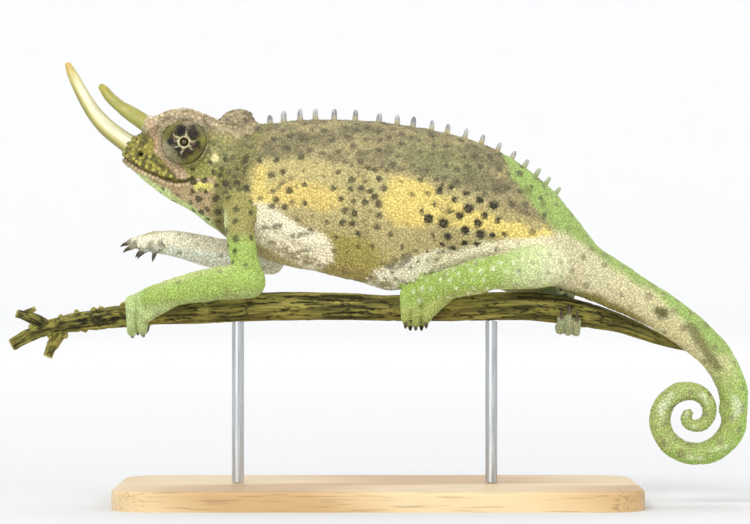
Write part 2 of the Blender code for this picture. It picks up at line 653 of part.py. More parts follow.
def build():
    for item in list(bpy.data.objects):
        bpy.data.objects.remove(item)
    branch_room = make_branch()
    make_stand(branch_room)
    neck, trunk = make_trunk()
    make_tail()
    eye_rooms = [make_eye("left", 1), make_eye("right", -1)]
    make_head(make_horns() + eye_rooms, neck)
    rooms = [branch_room, body_room()]
    palm = gripping_foot("hand_left", rooms)
    limb("upper_arm_left", ARM_LEFT, "forearm_left", FOREARM_LEFT, palm, rooms)
    limb("upper_arm_right", ARM_RIGHT, "forearm_right", FOREARM_RIGHT, open_hand(), rooms)
    sole = gripping_foot("foot_left", rooms)
    limb("thigh_left", THIGH_LEFT, "shank_left", SHANK_LEFT, sole, rooms)
    sole = gripping_foot("foot_right", rooms)
    limb("thigh_right", THIGH_RIGHT, "shank_right", SHANK_RIGHT, sole, rooms)
    for item in list(bpy.data.objects):
        if item.name.endswith(ROOM):
            bpy.data.objects.remove(item)
    for item in list(bpy.data.objects):
        finish(item)


build()
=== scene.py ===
import json
from math import cos, sin, pi, radians
import bmesh
import bpy
import numpy as np
from mathutils import Matrix, Vector
from mathutils.kdtree import KDTree

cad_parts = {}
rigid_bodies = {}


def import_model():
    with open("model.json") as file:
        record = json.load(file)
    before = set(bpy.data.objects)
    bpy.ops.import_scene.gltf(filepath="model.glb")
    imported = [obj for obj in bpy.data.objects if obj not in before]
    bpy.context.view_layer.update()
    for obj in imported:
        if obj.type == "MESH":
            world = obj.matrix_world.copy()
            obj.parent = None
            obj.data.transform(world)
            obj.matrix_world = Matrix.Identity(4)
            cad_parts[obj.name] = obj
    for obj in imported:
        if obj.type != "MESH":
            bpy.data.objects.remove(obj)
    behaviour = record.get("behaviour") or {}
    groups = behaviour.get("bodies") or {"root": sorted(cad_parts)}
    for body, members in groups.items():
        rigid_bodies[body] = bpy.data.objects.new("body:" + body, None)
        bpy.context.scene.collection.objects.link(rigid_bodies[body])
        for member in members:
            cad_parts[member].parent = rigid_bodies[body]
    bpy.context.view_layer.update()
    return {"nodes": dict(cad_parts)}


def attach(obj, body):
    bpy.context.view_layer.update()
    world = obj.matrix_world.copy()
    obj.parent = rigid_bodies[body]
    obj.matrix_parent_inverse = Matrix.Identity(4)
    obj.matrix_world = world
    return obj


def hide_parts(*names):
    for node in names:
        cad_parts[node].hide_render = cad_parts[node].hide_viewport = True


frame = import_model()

# Sizes are in millimetres until a mesh is made. X runs from the head to the tail, -Y is the
# animal's left side, and Z is up from the underside of the stand.
mm = 0.001
print("frame loaded:", len(frame["nodes"]), "nodes")


# Small helpers

def smoothRows(rows, steps):
    rows = np.array(rows, float)
    rows = np.vstack([2 * rows[0] - rows[1], rows, 2 * rows[-1] - rows[-2]])
    t = (np.arange(steps) / steps)[:, None]
    parts = []
    for a, b, c, d in zip(rows, rows[1:], rows[2:], rows[3:]):
        parts.append(0.5 * (2 * b + (c - a) * t + (2 * a - 5 * b + 4 * c - d) * t ** 2
                            + (3 * b - a - 3 * c + d) * t ** 3))
    return np.vstack(parts + [rows[-2:-1]])


def unit(vectors):
    return vectors / np.maximum(np.linalg.norm(vectors, axis=-1, keepdims=True), 1e-9)


def step(low, high, values):
    t = np.clip((values - low) / (high - low), 0, 1)
    return t * t * (3 - 2 * t)


def between(low, full, last, high, values):
    # rises from `low` to `full`, and falls from `last` to `high`
    return step(low, full, values) * (1 - step(last, high, values))


def bump(distance, width):
    return np.exp(-(distance / width) ** 2)


def awayFrom(points, spot):
    return np.linalg.norm(points - np.array(spot), axis=1)


def directions(centres):
    return unit(np.gradient(centres, axis=0))


def roundRings(profile, sides):
    # rings about Z, from pairs of radius and height
    turns = circle(sides)
    return np.array([np.column_stack([radius * np.cos(turns), radius * np.sin(turns),
                                      np.full(sides, height)]) for radius, height in profile])


noiseTable = np.random.default_rng(5).random((32, 32, 32))


def noise(points, size, shift=0.0):
    # smooth lattice noise from 0 to 1, `size` mm from one lattice point to the next
    p = np.asarray(points, float) / size + 100.0 + shift
    cell = np.floor(p).astype(int)
    f = p - cell
    f = f * f * (3 - 2 * f)
    total = 0.0
    for corner in np.ndindex(2, 2, 2):
        weight = np.prod(np.where(corner, f, 1 - f), axis=-1)
        i, j, k = ((cell + corner) % 32).T
        total = total + weight * noiseTable[i, j, k]
    return total


def layeredNoise(points, size, layers=3, shift=0.0):
    total, strength = 0.0, 1.0
    for i in range(layers):
        total = total + strength * noise(points, size / 2 ** i, shift + 7.3 * i)
        strength *= 0.5
    return total / (2 - 2 * strength)


def lineDistance(points, line):
    # distance to a polyline and the share of its length reached, in any number of dimensions
    line = np.asarray(line, float)
    starts = distanceAlong(line)
    best = np.full(len(points), 1e9)
    share = np.zeros(len(points))
    for a, b, length, start in zip(line, line[1:], np.diff(starts), starts):
        t = np.clip((points - a) @ (b - a) / length ** 2, 0, 1)
        away = awayFrom(points - t[:, None] * (b - a), a)
        closer = away < best
        best[closer] = away[closer]
        share[closer] = (start + t[closer] * length) / starts[-1]
    return best, share


def distanceAlong(points):
    return np.concatenate([[0], np.cumsum(np.linalg.norm(np.diff(points, axis=0), axis=1))])


def circle(sides):
    return 2 * pi * np.arange(sides) / sides


def nearestTo(points):
    tree = KDTree(len(points))
    for i, point in enumerate(points):
        tree.insert(point, i)
    tree.balance()
    return tree


def readAll(items, key, width=1, kind=float):
    values = np.empty(len(items) * width, kind)
    items.foreach_get(key, values)
    return values.reshape(-1, width) if width > 1 else values


def store(mesh, name, kind, values):
    # an attribute on the points of a mesh, or on its faces when it is a whole number
    layer = mesh.attributes.new(name, kind, "FACE" if kind == "INT" else "POINT")
    layer.data.foreach_set("vector" if kind == "FLOAT_VECTOR" else "value",
                           np.asarray(values, np.int32 if kind == "INT" else float).ravel())


def paintPoints(mesh, colours):
    layer = mesh.color_attributes.get("hide") or mesh.color_attributes.new(
        "hide", "FLOAT_COLOR", "POINT")
    layer.data.foreach_set("color", np.column_stack([np.clip(colours, 0, 1),
                                                     np.ones(len(colours))]).ravel())


def unwrap(mesh, places):
    mesh.uv_layers.new(name="OFBake").data.foreach_set("uv", places.ravel())


def dropAttributes(mesh, *names):
    for name in names:
        if name in mesh.attributes:
            mesh.attributes.remove(mesh.attributes[name])


def newObject(name, data):
    item = bpy.data.objects.new(name, data)
    bpy.context.scene.collection.objects.link(item)
    return item


def meshObject(name, points, faces, finish=None):
    mesh = bpy.data.meshes.new(name)
    mesh.from_pydata([tuple(p) for p in np.asarray(points) * mm], [], faces)
    mesh.polygons.foreach_set("use_smooth", [True] * len(mesh.polygons))
    if finish:
        mesh.materials.append(finish)
    return newObject(name, mesh)


def bake(item):
    graph = bpy.context.evaluated_depsgraph_get()
    mesh = bpy.data.meshes.new_from_object(item.evaluated_get(graph))
    item.modifiers.clear()
    item.data = mesh


def meshPoints(mesh):
    return readAll(mesh.vertices, "co", 3) / mm


def mergeShells(shells):
    # several closed shells as one list of points and one of faces
    faces, count = [], 0
    for points, some in shells:
        faces += [tuple(i + count for i in face) for face in some]
        count += len(points)
    return np.vstack([points for points, _ in shells]), faces


def ringFaces(count, sides):
    faces = []
    for a in range(0, (count - 1) * sides, sides):
        for j in range(sides):
            k = (j + 1) % sides
            faces.append((a + j, a + k, a + sides + k, a + sides + j))
    return faces


def loft(rings):
    # a closed shell through rings of points, with a pole at each end
    count, sides = rings.shape[:2]
    points = np.vstack([rings.reshape(-1, 3), rings[0].mean(0), rings[-1].mean(0)])
    faces = ringFaces(count, sides)
    first, last, end = count * sides, count * sides + 1, (count - 1) * sides
    for j in range(sides):
        k = (j + 1) % sides
        faces += [(first, k, j), (last, end + j, end + k)]
    return points, faces


# The shape of the body, limbs and feet

form = {              # room left for the scales, size of the fused mesh, sides of each length
    "coat": 0.3, "voxel": 0.68, "bodySides": 64, "limbSides": 28, "toeSides": 14,
    "headEnd": -46, "headLow": 86,                    # where the head's finer faces end
    "firstRounds": 3, "creaseRounds": 14, "lastRounds": 2, "shrink": 0.55, "swell": -0.57,
    "fill": 0.7,
}

bodyRibs = [          # back x, z; belly x, z; half width; side shift; keel (over 1 is pinched)
    (-76.3, 105.4, -76.9, 103, 1.6, 0, 0.9), (-74.6, 108.3, -75.6, 101.4, 3.6, 0, 0.85),
    (-71, 111.2, -72.8, 98.8, 4.9, 0, 0.8), (-66.8, 114.4, -69.8, 96.2, 5.8, 0, 0.78),
    (-62.5, 117, -66.3, 93.5, 6.8, 0, 0.76), (-58, 118.2, -62.7, 90.9, 7.7, 0, 0.76),
    (-53.5, 117.1, -58.9, 89, 8.6, 0, 0.78), (-49, 114.6, -54.9, 86.5, 9.4, 0, 0.82),
    (-44, 114, -51, 83.4, 9.6, 0, 0.9), (-38, 113.7, -47.4, 81, 9.2, 0, 1.00),
    (-34, 114, -44.4, 78.6, 9.9, 0, 1.15), (-30.6, 114.4, -40.5, 76.2, 11, 0, 1.3),
    (-20.4, 115.4, -29.4, 71.3, 12.4, 0, 1.36), (-12, 115.4, -17.4, 68.9, 13.1, 0, 1.36),
    (-3, 115, -6.4, 66.2, 13.4, 0, 1.36), (6.6, 113.9, 5, 63.5, 13.3, 0, 1.36),
    (18.6, 111.7, 17.6, 67.2, 12.6, 0, 1.36), (31, 108.3, 29.6, 67.2, 11.6, 0, 1.32),
    (43, 101.8, 40, 66, 10.4, 0, 1.26), (53, 93.6, 46.5, 65.6, 9.6, 0, 1.16),
    (60.8, 83.8, 51.5, 65, 8.6, -0.1, 1.05), (66.2, 77, 57.2, 63, 7.6, -0.5, 1.00),
    (70.4, 74.2, 63.4, 60.5, 6.8, -1.2, 1.00), (80.1, 67.6, 73.8, 56.2, 5.7, -2.4, 1.00),
    (91.2, 60.3, 84.4, 50.7, 5.1, -3.4, 1.00), (103.2, 49.4, 95.6, 42.4, 4.8, -4.2, 1.00),
    (108.5, 40.4, 99.9, 36.8, 4.4, -4.6, 1.00), (110.6, 33, 101.7, 31.6, 4.2, -4.9, 1.00),
]
coil = {"centre": (94.4, 26.1), "turns": 1.7, "side": -5,
        "radius": [12.3, 11, 10.3, 7.5, 4.1, 2.7, 2.6, 1.4],
        "half": [4.2, 3.6, 3.4, 3, 2.4, 2.1, 1.8, 1.1]}
casque = {"centre": (-42, 0, 113.2), "size": (5.6, 5.1, 4.5), "pinch": 0.3}
browRim = [(-69, -3.6, 112.4, 1.4), (-64, -5.3, 115.6, 1.4), (-58, -6, 117, 1.3),
           (-51.8, -5.2, 115.4, 1.2), (-46.8, -3.6, 113.4, 1.2)]
limbs = {             # x, y, z, radius of each length
    "armLeft": [(-41, -6, 91, 4.8), (-41.2, -10.8, 85, 4.7), (-40.2, -13.4, 76.5, 4.4),
                (-38, -14.6, 67.6, 4.4)],
    "forearmLeft": [(-38.2, -14.8, 66.6, 5.4), (-45, -14.6, 66.2, 5.3),
                    (-54, -12.6, 64.8, 4.8), (-63, -9.4, 62.9, 4.1), (-67.8, -7.4, 61.6, 3.6)],
    "palmLeft": [(-68.8, -6.6, 61.2, 3.3), (-72, -3.4, 59.8, 3.2), (-72.4, 1.8, 59.4, 3)],
    "heelHand": [(-61.5, -9.4, 61.6, 3.2), (-65.6, -7.6, 59, 2.8), (-69.6, -6.6, 55.6, 1.9)],
    "armRight": [(-40, 6, 90, 4.6), (-38.6, 11, 84, 4.4), (-35.4, 14, 77, 4),
                 (-33, 15, 73, 3.8)],
    "forearmRight": [(-32.6, 15, 72.6, 4.3), (-40, 15, 73.2, 4.8), (-51, 13.6, 75.4, 4.9),
                     (-60, 12.2, 77.6, 4.3), (-64, 11.8, 78, 4)],
    "palmRight": [(-64.2, 11.8, 77.9, 3.8), (-67.8, 11.4, 78.4, 3.6), (-70.6, 11.2, 78.5, 2.8)],
    "thighLeft": [(53, -2, 72, 7.2), (46.5, -9, 70.8, 6.6), (38, -14.2, 69.6, 5.6),
                  (31.6, -16.2, 68.8, 5)],
    "shankLeft": [(30.6, -16.2, 68.4, 5.5), (25, -12.8, 66.8, 5.1), (18.6, -8.4, 65.2, 4.6),
                  (14.6, -5.6, 63.8, 4.2)],
    "soleLeft": [(14.4, -5.6, 63, 3.9), (12, -3.6, 62.2, 3.9), (11.2, 0.8, 62.2, 3.3)],
    "heelFoot": [(22, -9.6, 65, 3.6), (18, -8, 61, 2.9), (14.6, -7, 56.6, 2)],
    "thighRight": [(53, 2, 72, 7.2), (47.5, 9, 70.8, 6.4), (41.5, 14.2, 69.8, 5.4),
                   (38, 16.2, 69.2, 4.8)],
    "shankRight": [(37.6, 16.2, 69, 5.2), (43, 14, 66.6, 4.8), (49, 10.8, 63.8, 4.1),
                   (53.4, 8.2, 61.4, 3.6)],
    "soleRight": [(53.8, 8, 61.2, 3.4), (56.6, 6.6, 57.4, 3.5), (57.6, 4.9, 53.4, 3)],
}
grips = [             # foot, places along the branch, start and end angle round it, toe radius
    ("palmLeft", (-73.7, -70.2), 40, 156, 1.95),
    ("palmLeft", (-75.1, -72.2, -69.3), -40, -140, 1.6),
    ("soleLeft", (8, 11.3, 14.6), 42, 140, 1.85),
    ("soleLeft", (9.6, 13.2), -42, -140, 1.95),
    ("soleRight", (54.6, 57.1, 59.6), -150, -262, 1.6),
    ("soleRight", (54.8, 58), -72, 2, 1.7),
]
openToes = [          # the raised hand's toes, each from root to tip
    ((-69.6, 13.2, 79), (-73.2, 13.9, 78.9), (-75.8, 14.4, 78.1)),
    ((-69.8, 11, 78.5), (-73, 11.5, 77.9), (-75, 11.8, 76.8)),
    ((-68, 8.9, 77.4), (-70, 8.2, 76.6), (-70.9, 8, 75.6)),
    ((-66, 8.9, 77.2), (-67.3, 8.1, 76), (-67.5, 7.8, 75.2)),
    ((-68.8, 10.4, 77.6), (-70.8, 10.6, 76.7), (-71.6, 10.6, 75.9)),
]
toes = {              # `outer` is how many degrees short the outer toes of a bundle are
    "openRadius": 1.5, "gap": 0.3, "clawLength": 2.3, "clawRadius": 0.75, "outer": 14,
    "crease": 0.7, "creaseWidth": 0.42, "close": 0.06, "taper": 0.18, "clawSides": 12,
    "clawTaper": (0.95, 0.9, 0.62, 0.12),
}
branchPath = [
    (-110, 0, 47.4, 2), (-104, 0, 50.6, 2.2), (-97.5, 0, 53, 2.5),
    (-86.4, 0, 54.8, 3), (-76.5, 0, 56, 3.4), (-65.4, 0, 57.2, 3.8),
    (-53.4, 0, 58, 4.1), (-33, 0, 59, 4.3), (-11.4, 0, 59, 4.2),
    (3.6, 0, 58.5, 4), (24.6, 0, 58.8, 4.2), (46.5, 0.3, 59, 4.4),
    (60.6, 2.2, 56.8, 4), (72.6, 4, 53.8, 2.9), (83.4, 4.8, 49.6, 1.95),
    (91.5, 5.6, 46.9, 1.2), (96, 5.8, 46, 0.8),
]


def branchAt(x):
    path = np.array(branchPath)
    return [float(np.interp(x, path[:, 0], path[:, k])) for k in (1, 2, 3)]


def coilRibs(steps):
    table = smoothRows(list(zip(coil["radius"], coil["half"])), steps)
    rows = []
    for i in range(int(coil["turns"] * 4 * steps) + 1):
        turn, (radius, half) = i / (4 * steps), table[i]
        way = (cos(2 * pi * turn), -sin(2 * pi * turn))
        outer = [coil["centre"][k] + way[k] * (radius + half) for k in (0, 1)]
        inner = [coil["centre"][k] + way[k] * (radius - half) for k in (0, 1)]
        rows.append((*outer, *inner, half * 0.92, coil["side"], 1.0))
    return rows


def ribRings(rows, sides, grow):
    # the seam of each hoop, where it starts and ends, is at the belly
    rings = []
    angles = circle(sides) + pi
    for row in rows:
        top, low = np.array([row[0], row[5], row[1]]), np.array([row[2], row[5], row[3]])
        middle, half = (top + low) / 2, (top - low) / 2
        half = half + unit(half) * grow
        keel = np.where(np.cos(angles) > 0, row[6], (1 + row[6]) / 2)
        side = (row[4] + grow) * np.abs(np.sin(angles)) ** keel * np.sign(np.sin(angles))
        ring = middle + half * np.cos(angles)[:, None]
        ring[:, 1] += side
        rings.append(ring)
    return np.array(rings)


def tubeRings(points, sides, steps, grow, domed=True):
    rows = smoothRows(points, steps)
    centres, radii = rows[:, :3], rows[:, 3] + grow
    ways = directions(centres)
    if domed:
        angles = np.radians([72, 52, 32, 14])
        head = [(centres[0] - ways[0] * radii[0] * sin(a), radii[0] * cos(a), ways[0])
                for a in angles]
        tail = [(centres[-1] + ways[-1] * radii[-1] * sin(a), radii[-1] * cos(a), ways[-1])
                for a in angles[::-1]]
    else:
        head, tail = [], []
    turns = circle(sides)
    across = np.array([1.0, 0, 0]) if abs(ways[0][0]) < 0.7 else np.array([0, 0, 1.0])
    rings = []
    for centre, radius, way in head + list(zip(centres, radii, ways)) + tail:
        across = unit(across - way * (across @ way))
        other = np.cross(way, across)
        rings.append(centre + radius * (np.outer(np.cos(turns), across)
                                        + np.outer(np.sin(turns), other)))
    return np.array(rings)


def gripToe(x, start, end, radius):
    # a toe's path round the branch, and its claw's start and directions
    side, height, thickness = branchAt(x)
    orbit = thickness + toes["gap"] + radius
    path = []
    for share in np.linspace(0, 1, 5):
        angle = radians(start + (end - start) * share)
        slim = radius * (1 - toes["taper"] * share)
        reach = orbit - (radius - slim)
        path.append((x, side - reach * sin(angle), height + reach * cos(angle), slim))
    angle, sense = radians(end), 1 if end > start else -1
    along = np.array([0, -cos(angle) * sense, -sin(angle) * sense])
    inward = np.array([0, sin(angle), -cos(angle)])
    root = np.array(path[-1][:3]) - inward * radius * 0.35 + along * radius * 0.5
    return path, (root, along, along + inward * 0.8)


def openToe(points):
    radius = toes["openRadius"]
    path = [(*point, radius * share) for point, share in zip(points, (1.15, 1.0, 0.75))]
    way = unit(np.subtract(points[2], points[1]))
    root = np.array(points[2]) + way * radius * 0.4
    return path, (root, way, way + np.array([0, 0, -0.8]))


clay = []             # the shells that are fused into one skin
guide = {"points": [], "part": [], "u": [], "v": [], "along": [], "around": []}
partNames = []
girth = []            # places along the body, and half its girth there


def addGuide(name, rings):
    # flat places and directions on a length of the body, in mm along and around it
    partNames.append(name)
    centres = rings.mean(axis=1)
    u = distanceAlong(centres)
    edges = np.linalg.norm(np.roll(rings, -1, axis=1) - rings, axis=2)
    v = np.cumsum(edges, axis=1) - edges
    v = v - edges.sum(axis=1, keepdims=True) / 2
    if name == "body":
        girth[:] = [u, edges.sum(axis=1) / 2]
    sides = rings.shape[1]
    blocks = {"points": rings, "part": np.full(v.shape, len(partNames) - 1),
              "u": np.repeat(u, sides), "v": v,
              "along": directions(centres)[:, None].repeat(sides, axis=1),
              "around": unit(np.roll(rings, -1, axis=1) - np.roll(rings, 1, axis=1))}
    for key, block in blocks.items():
        guide[key].append(block.reshape(-1, 3) if block.ndim == 3 else block.ravel())


def addBall(centre, size, tilt=0):
    angles = np.radians(np.arange(10, 180, 10))
    rings = roundRings([(sin(a), -cos(a)) for a in angles], 24)
    turned = rings * np.array(size) @ np.array(Matrix.Rotation(tilt, 3, "Y")).T
    clay.append(loft(turned + np.array(centre)))


def addLength(name, rings):
    clay.append(loft(rings))
    addGuide(name, rings)


muscles = [           # centre, half sizes, tilt about Y: what swells beyond the plain tubes
    ((-51.5, 0, 101.5), (5.6, 9.3, 6.6), 0.3),        # jaw muscle behind the eyes
    ((-37.5, 0, 90.5), (6.2, 10.6, 8.6), 0.2),        # shoulders
    ((47, 0, 76), (8.5, 9.8, 8), 0.5),                # hips
    ((-68.2, 4.7, 113.2), (3.5, 3, 3.2), 0.5),        # the feet of the horns
    ((-68.2, -4.7, 113.2), (3.5, 3, 3.2), 0.5),
    ((-74, 0, 107.2), (3.2, 3.4, 3.2), 0),
]
claws = []            # root, first direction and last direction of each


def modelSkin():
    print("modelling the body")
    inward = -form["coat"]
    rows = smoothRows(bodyRibs + coilRibs(1)[:2], 4)[:27 * 4 + 1]
    rows = np.vstack([rows, coilRibs(8)[1:]])
    addLength("body", ribRings(rows, form["bodySides"], inward))
    addBall(casque["centre"], casque["size"])
    for side in (1, -1):
        clay.append(loft(tubeRings([(x, y * side, z, r) for x, y, z, r in browRim], 12, 4, 0)))
    for centre, size, tilt in muscles:
        addBall(centre, np.array(size) + inward, tilt)
    for name, points in limbs.items():
        addLength(name, tubeRings(points, form["limbSides"], 5, inward))
    for foot, places, start, end, radius in grips:
        middle = sum(places) / len(places)
        for x in places:
            short = toes["outer"] * abs(x - middle) / (places[-1] - places[0]) * 2
            short *= len(places) > 2
            last = end - short if end > start else end + short
            path, claw = gripToe(x + (middle - x) * toes["close"], start, last, radius)
            addLength(f"{foot}{start}{x}", tubeRings(path, form["toeSides"], 3, inward * 0.6))
            claws.append(claw)
    for i, points in enumerate(openToes):
        path, claw = openToe(points)
        addLength(f"open{i}", tubeRings(path, form["toeSides"], 3, inward * 0.6))
        claws.append(claw)
    skin = meshObject("skin", *mergeShells(clay))
    fuse = skin.modifiers.new("Fuse", "REMESH")
    fuse.mode = "VOXEL"
    fuse.voxel_size = form["voxel"] * mm
    bake(skin)
    print("fused:", len(skin.data.vertices), "points")
    return skin


# Working the skin

def neighbourMean(values, pairs):
    a, b = pairs.T
    count = np.bincount(a, minlength=len(values)) + np.bincount(b, minlength=len(values))
    total = np.empty_like(values)
    for k in range(values.shape[1]):
        total[:, k] = (np.bincount(a, values[b, k], len(values))
                       + np.bincount(b, values[a, k], len(values)))
    return total / count[:, None]


def movePoints(mesh, points):
    # gives back the normals at the points' new places
    mesh.vertices.foreach_set("co", (points * mm).ravel())
    mesh.update()
    return readAll(mesh.vertices, "normal", 3)


def smoothed(points, pairs, rounds):
    # each round shrinks and then swells by as much, so that the form keeps its size
    for _ in range(rounds):
        for amount in (form["shrink"], form["swell"]):
            points = points + (neighbourMean(points, pairs) - points) * amount
    return points


def fillCreases(mesh, points, pairs, rounds):
    # hollows fill up into soft webs, and what bulges is left as it is
    for _ in range(rounds):
        normals = movePoints(mesh, points)
        pull = neighbourMean(points, pairs) - points
        rise = np.maximum((pull * normals).sum(axis=1), 0)
        points = points + normals * rise[:, None] * form["fill"]
    return points


def refineHead(skin):
    # the head's faces are cut in four, for its finer forms
    shape = bmesh.new()
    shape.from_mesh(skin.data)
    end, low = form["headEnd"] * mm, form["headLow"] * mm
    edges = [edge for edge in shape.edges
             if max(vert.co.x for vert in edge.verts) < end
             and min(vert.co.z for vert in edge.verts) > low]
    bmesh.ops.subdivide_edges(shape, edges=edges, cuts=1, use_grid_fill=True)
    bmesh.ops.triangulate(shape, faces=shape.faces)
    shape.to_mesh(skin.data)
    shape.free()


eye = {"centre": (-57.7, 7.4, 107.8), "axis": (0.06, 1, 0)}
mouthLine = [(-79, 104.5), (-76, 103.3), (-73.5, 101.6), (-70.1, 99.7), (-66.5, 98.1),
             (-63.3, 96.8), (-60, 96.1), (-57.2, 96.3), (-55.2, 97.3)]
nostril = (-70.7, 104.5)
folds = [             # a line (x, z) down both sides, its depth and its width
    ([(-52.6, 97.6), (-51.4, 93), (-51.6, 88.5), (-53.5, 85)], 0.45, 0.9),
    ([(-46, 106), (-45.2, 101), (-46.2, 95), (-48.6, 89), (-50, 84.5)], 0.5, 1.1),
    ([(-40.6, 108.5), (-39.6, 103), (-41, 97), (-44, 92)], 0.45, 1.2),
    ([(-36, 110), (-34.6, 104), (-34.4, 97), (-35.4, 90)], 0.4, 1.3),
    ([(-34, 84), (-30, 80), (-24, 76.5), (-17, 74.5)], 0.5, 1.2),
    ([(-31, 89), (-26, 84), (-19, 80.5), (-11, 79)], 0.35, 1.2),
    ([(10, 70.5), (18, 73.5), (26, 76), (35, 78.5), (44, 79.5)], 0.5, 1.3),
    ([(51, 88), (53.5, 83), (53.5, 78), (51, 74)], 0.4, 1.3),
    ([(56, 84), (59.5, 79), (60, 73), (58, 68)], 0.35, 1.3),
    ([(-39.2, 70), (-37, 70.7), (-34.6, 69.2)], 0.6, 0.6),
]


relief = {            # how far each form stands out or goes in
    "lips": 0.3, "mouth": 0.75, "socket": 1, "socketGroove": 0.4, "nostrilRim": 0.45,
    "nostril": 1.1, "crown": 0.75, "nape": 0.5, "napeGroove": 0.4, "cheek": 0.3, "crest": 0.45,
    "ribs": 0.16, "lumps": 0.5, "pits": 0.25, "ribStep": 8.2,
}


def eyeDistance(points):
    # from the axis of whichever eye is nearer
    centre, axis = np.array(eye["centre"]), unit(np.array(eye["axis"]))
    folded = points * np.array([1, 0, 1]) + np.abs(points[:, 1:2]) * np.array([0, 1, 0])
    out = (folded - centre) @ axis
    return awayFrom(folded - out[:, None] * axis, centre)


def toeCreases(points):
    # how deep the grooves between the bundled toes are
    path = np.array(branchPath)
    y, z, thick = [np.interp(points[:, 0], path[:, 0], path[:, k]) for k in (1, 2, 3)]
    away = np.hypot(points[:, 1] - y, points[:, 2] - z) - thick
    angle = np.degrees(np.arctan2(-(points[:, 1] - y), points[:, 2] - z))
    total = np.zeros(len(points))
    for _, places, start, end, radius in grips:
        low, high = sorted((start, end))
        reach = (high - low) / 2
        turned = np.abs((angle - (low + high) / 2 + 180) % 360 - 180)
        onToes = 1 - step(reach, reach + 20, turned)
        onToes = onToes * (1 - step(2 * radius + 1, 2 * radius + 2, away))
        if start < end:                      # they start a little way round from the palm
            onToes = onToes * step(low + 8, low + 30, angle)
        for a, b in zip(places, places[1:]):
            total += toes["crease"] * onToes * bump(points[:, 0] - (a + b) / 2, toes["creaseWidth"])
    return total


def sculptSkin(skin):
    print("working the skin")
    pairs = readAll(skin.data.edges, "vertices", 2, int)
    points = smoothed(meshPoints(skin.data), pairs, form["firstRounds"])
    points = fillCreases(skin.data, points, pairs, form["creaseRounds"])
    movePoints(skin.data, points)
    refineHead(skin)
    pairs = readAll(skin.data.edges, "vertices", 2, int)
    points = smoothed(meshPoints(skin.data), pairs, form["lastRounds"])
    skin.data.polygons.foreach_set("use_smooth", [True] * len(skin.data.polygons))
    x, y, z = points.T
    y *= 1 - casque["pinch"] * between(-57, -49, -38, -32, x) * step(105, 111, z)
    normals = movePoints(skin.data, points)
    side = step(0.15, 0.5, np.abs(normals[:, 1]))
    flat = points[:, [0, 2]]
    rise = np.zeros(len(points))

    away, _ = lineDistance(flat, mouthLine)           # the mouth, between two rows of lips
    onHead = x < -50
    lips = onHead * np.maximum(side, step(0.35, 0.7, -normals[:, 0]) * (x < -74.5))
    rise += lips * (relief["lips"] * bump(away - 1.15, 0.7) - relief["mouth"] * bump(away, 0.42))
    for line, depth, width in folds:
        away, share = lineDistance(flat, line)
        fade = np.sin(pi * np.clip(share, 0.06, 0.94))
        rise += side * depth * fade * (0.55 * bump(away - 1.6 * width, width) - bump(away, width))

    away = eyeDistance(points)                        # the socket's ring and the groove in it
    rise += (x < -48) * (z > 98) * (relief["socket"] * bump(away - 6.9, 0.75)
                                    - relief["socketGroove"] * bump(away - 8.9, 0.7))
    rise -= toeCreases(points)
    away = awayFrom(flat, nostril)
    rise += side * onHead * (relief["nostrilRim"] * bump(away - 1.05, 0.4)
                             - relief["nostril"] * bump(away, 0.55))

    crown = (x < -38) * step(0.3, 0.8, normals[:, 2]) * (z > 108)
    across = np.abs(y)                                # a hollow crown between the brows' ridges
    front = 1 - step(-54, -47, x)
    rise -= relief["crown"] * crown * front * bump(across, 2.6) * step(-70, -66, x)
    rise += crown * (1 - front) * (relief["nape"] * bump(across, 0.8)
                                   - relief["napeGroove"] * bump(across - 2.4, 1))

    ridge, _ = lineDistance(flat, [(-66, 105.5), (-61.5, 100.5), (-57, 98.2)])
    rise += onHead * side * relief["cheek"] * bump(ridge, 1)      # from the horn's foot
    crest, _ = lineDistance(flat, [(-50.5, 113.6), (-46, 111.8), (-40, 109.5)])
    rise += relief["crest"] * side * bump(crest, 0.9) * (x < -38)

    flank = between(-30, -18, 38, 50, x) * between(68, 76, 104, 112, z)
    lean = x + 0.35 * (z - 90)                        # the ribs show faintly
    rise += relief["ribs"] * flank * side * np.sin(2 * pi * lean / relief["ribStep"])
    rise += relief["lumps"] * (layeredNoise(points, 5) - 0.5)
    rise += relief["pits"] * (layeredNoise(points, 1.8) - 0.5)
    points = points + normals * rise[:, None]
    return points, movePoints(skin.data, points)


def placeOnBody(skin, points):
    # the part of the body that each face and point belongs to, and its flat place there
    table = {key: np.concatenate(blocks) for key, blocks in guide.items()}
    tree = nearestTo(table["points"])

    def placed(places, near):
        away = places - table["points"][near]
        u, v = [table[key][near] + (away * table[way][near]).sum(axis=1)
                for key, way in (("u", "along"), ("v", "around"))]
        return {"part": table["part"][near], "u": u, "v": v, "along": table["along"][near]}

    def nearest(places):
        return np.array([tree.find(place)[1] for place in places])

    mesh = skin.data
    centres = readAll(mesh.polygons, "center", 3) / mm
    near = nearest(centres)
    owner = np.repeat(near, readAll(mesh.polygons, "loop_total", 1, int))
    corners = placed(points[readAll(mesh.loops, "vertex_index", 1, int)], owner)
    unwrap(mesh, packIslands(corners["part"], corners["u"], corners["v"]))
    return placed(points, nearest(points)), table["part"][near], centres


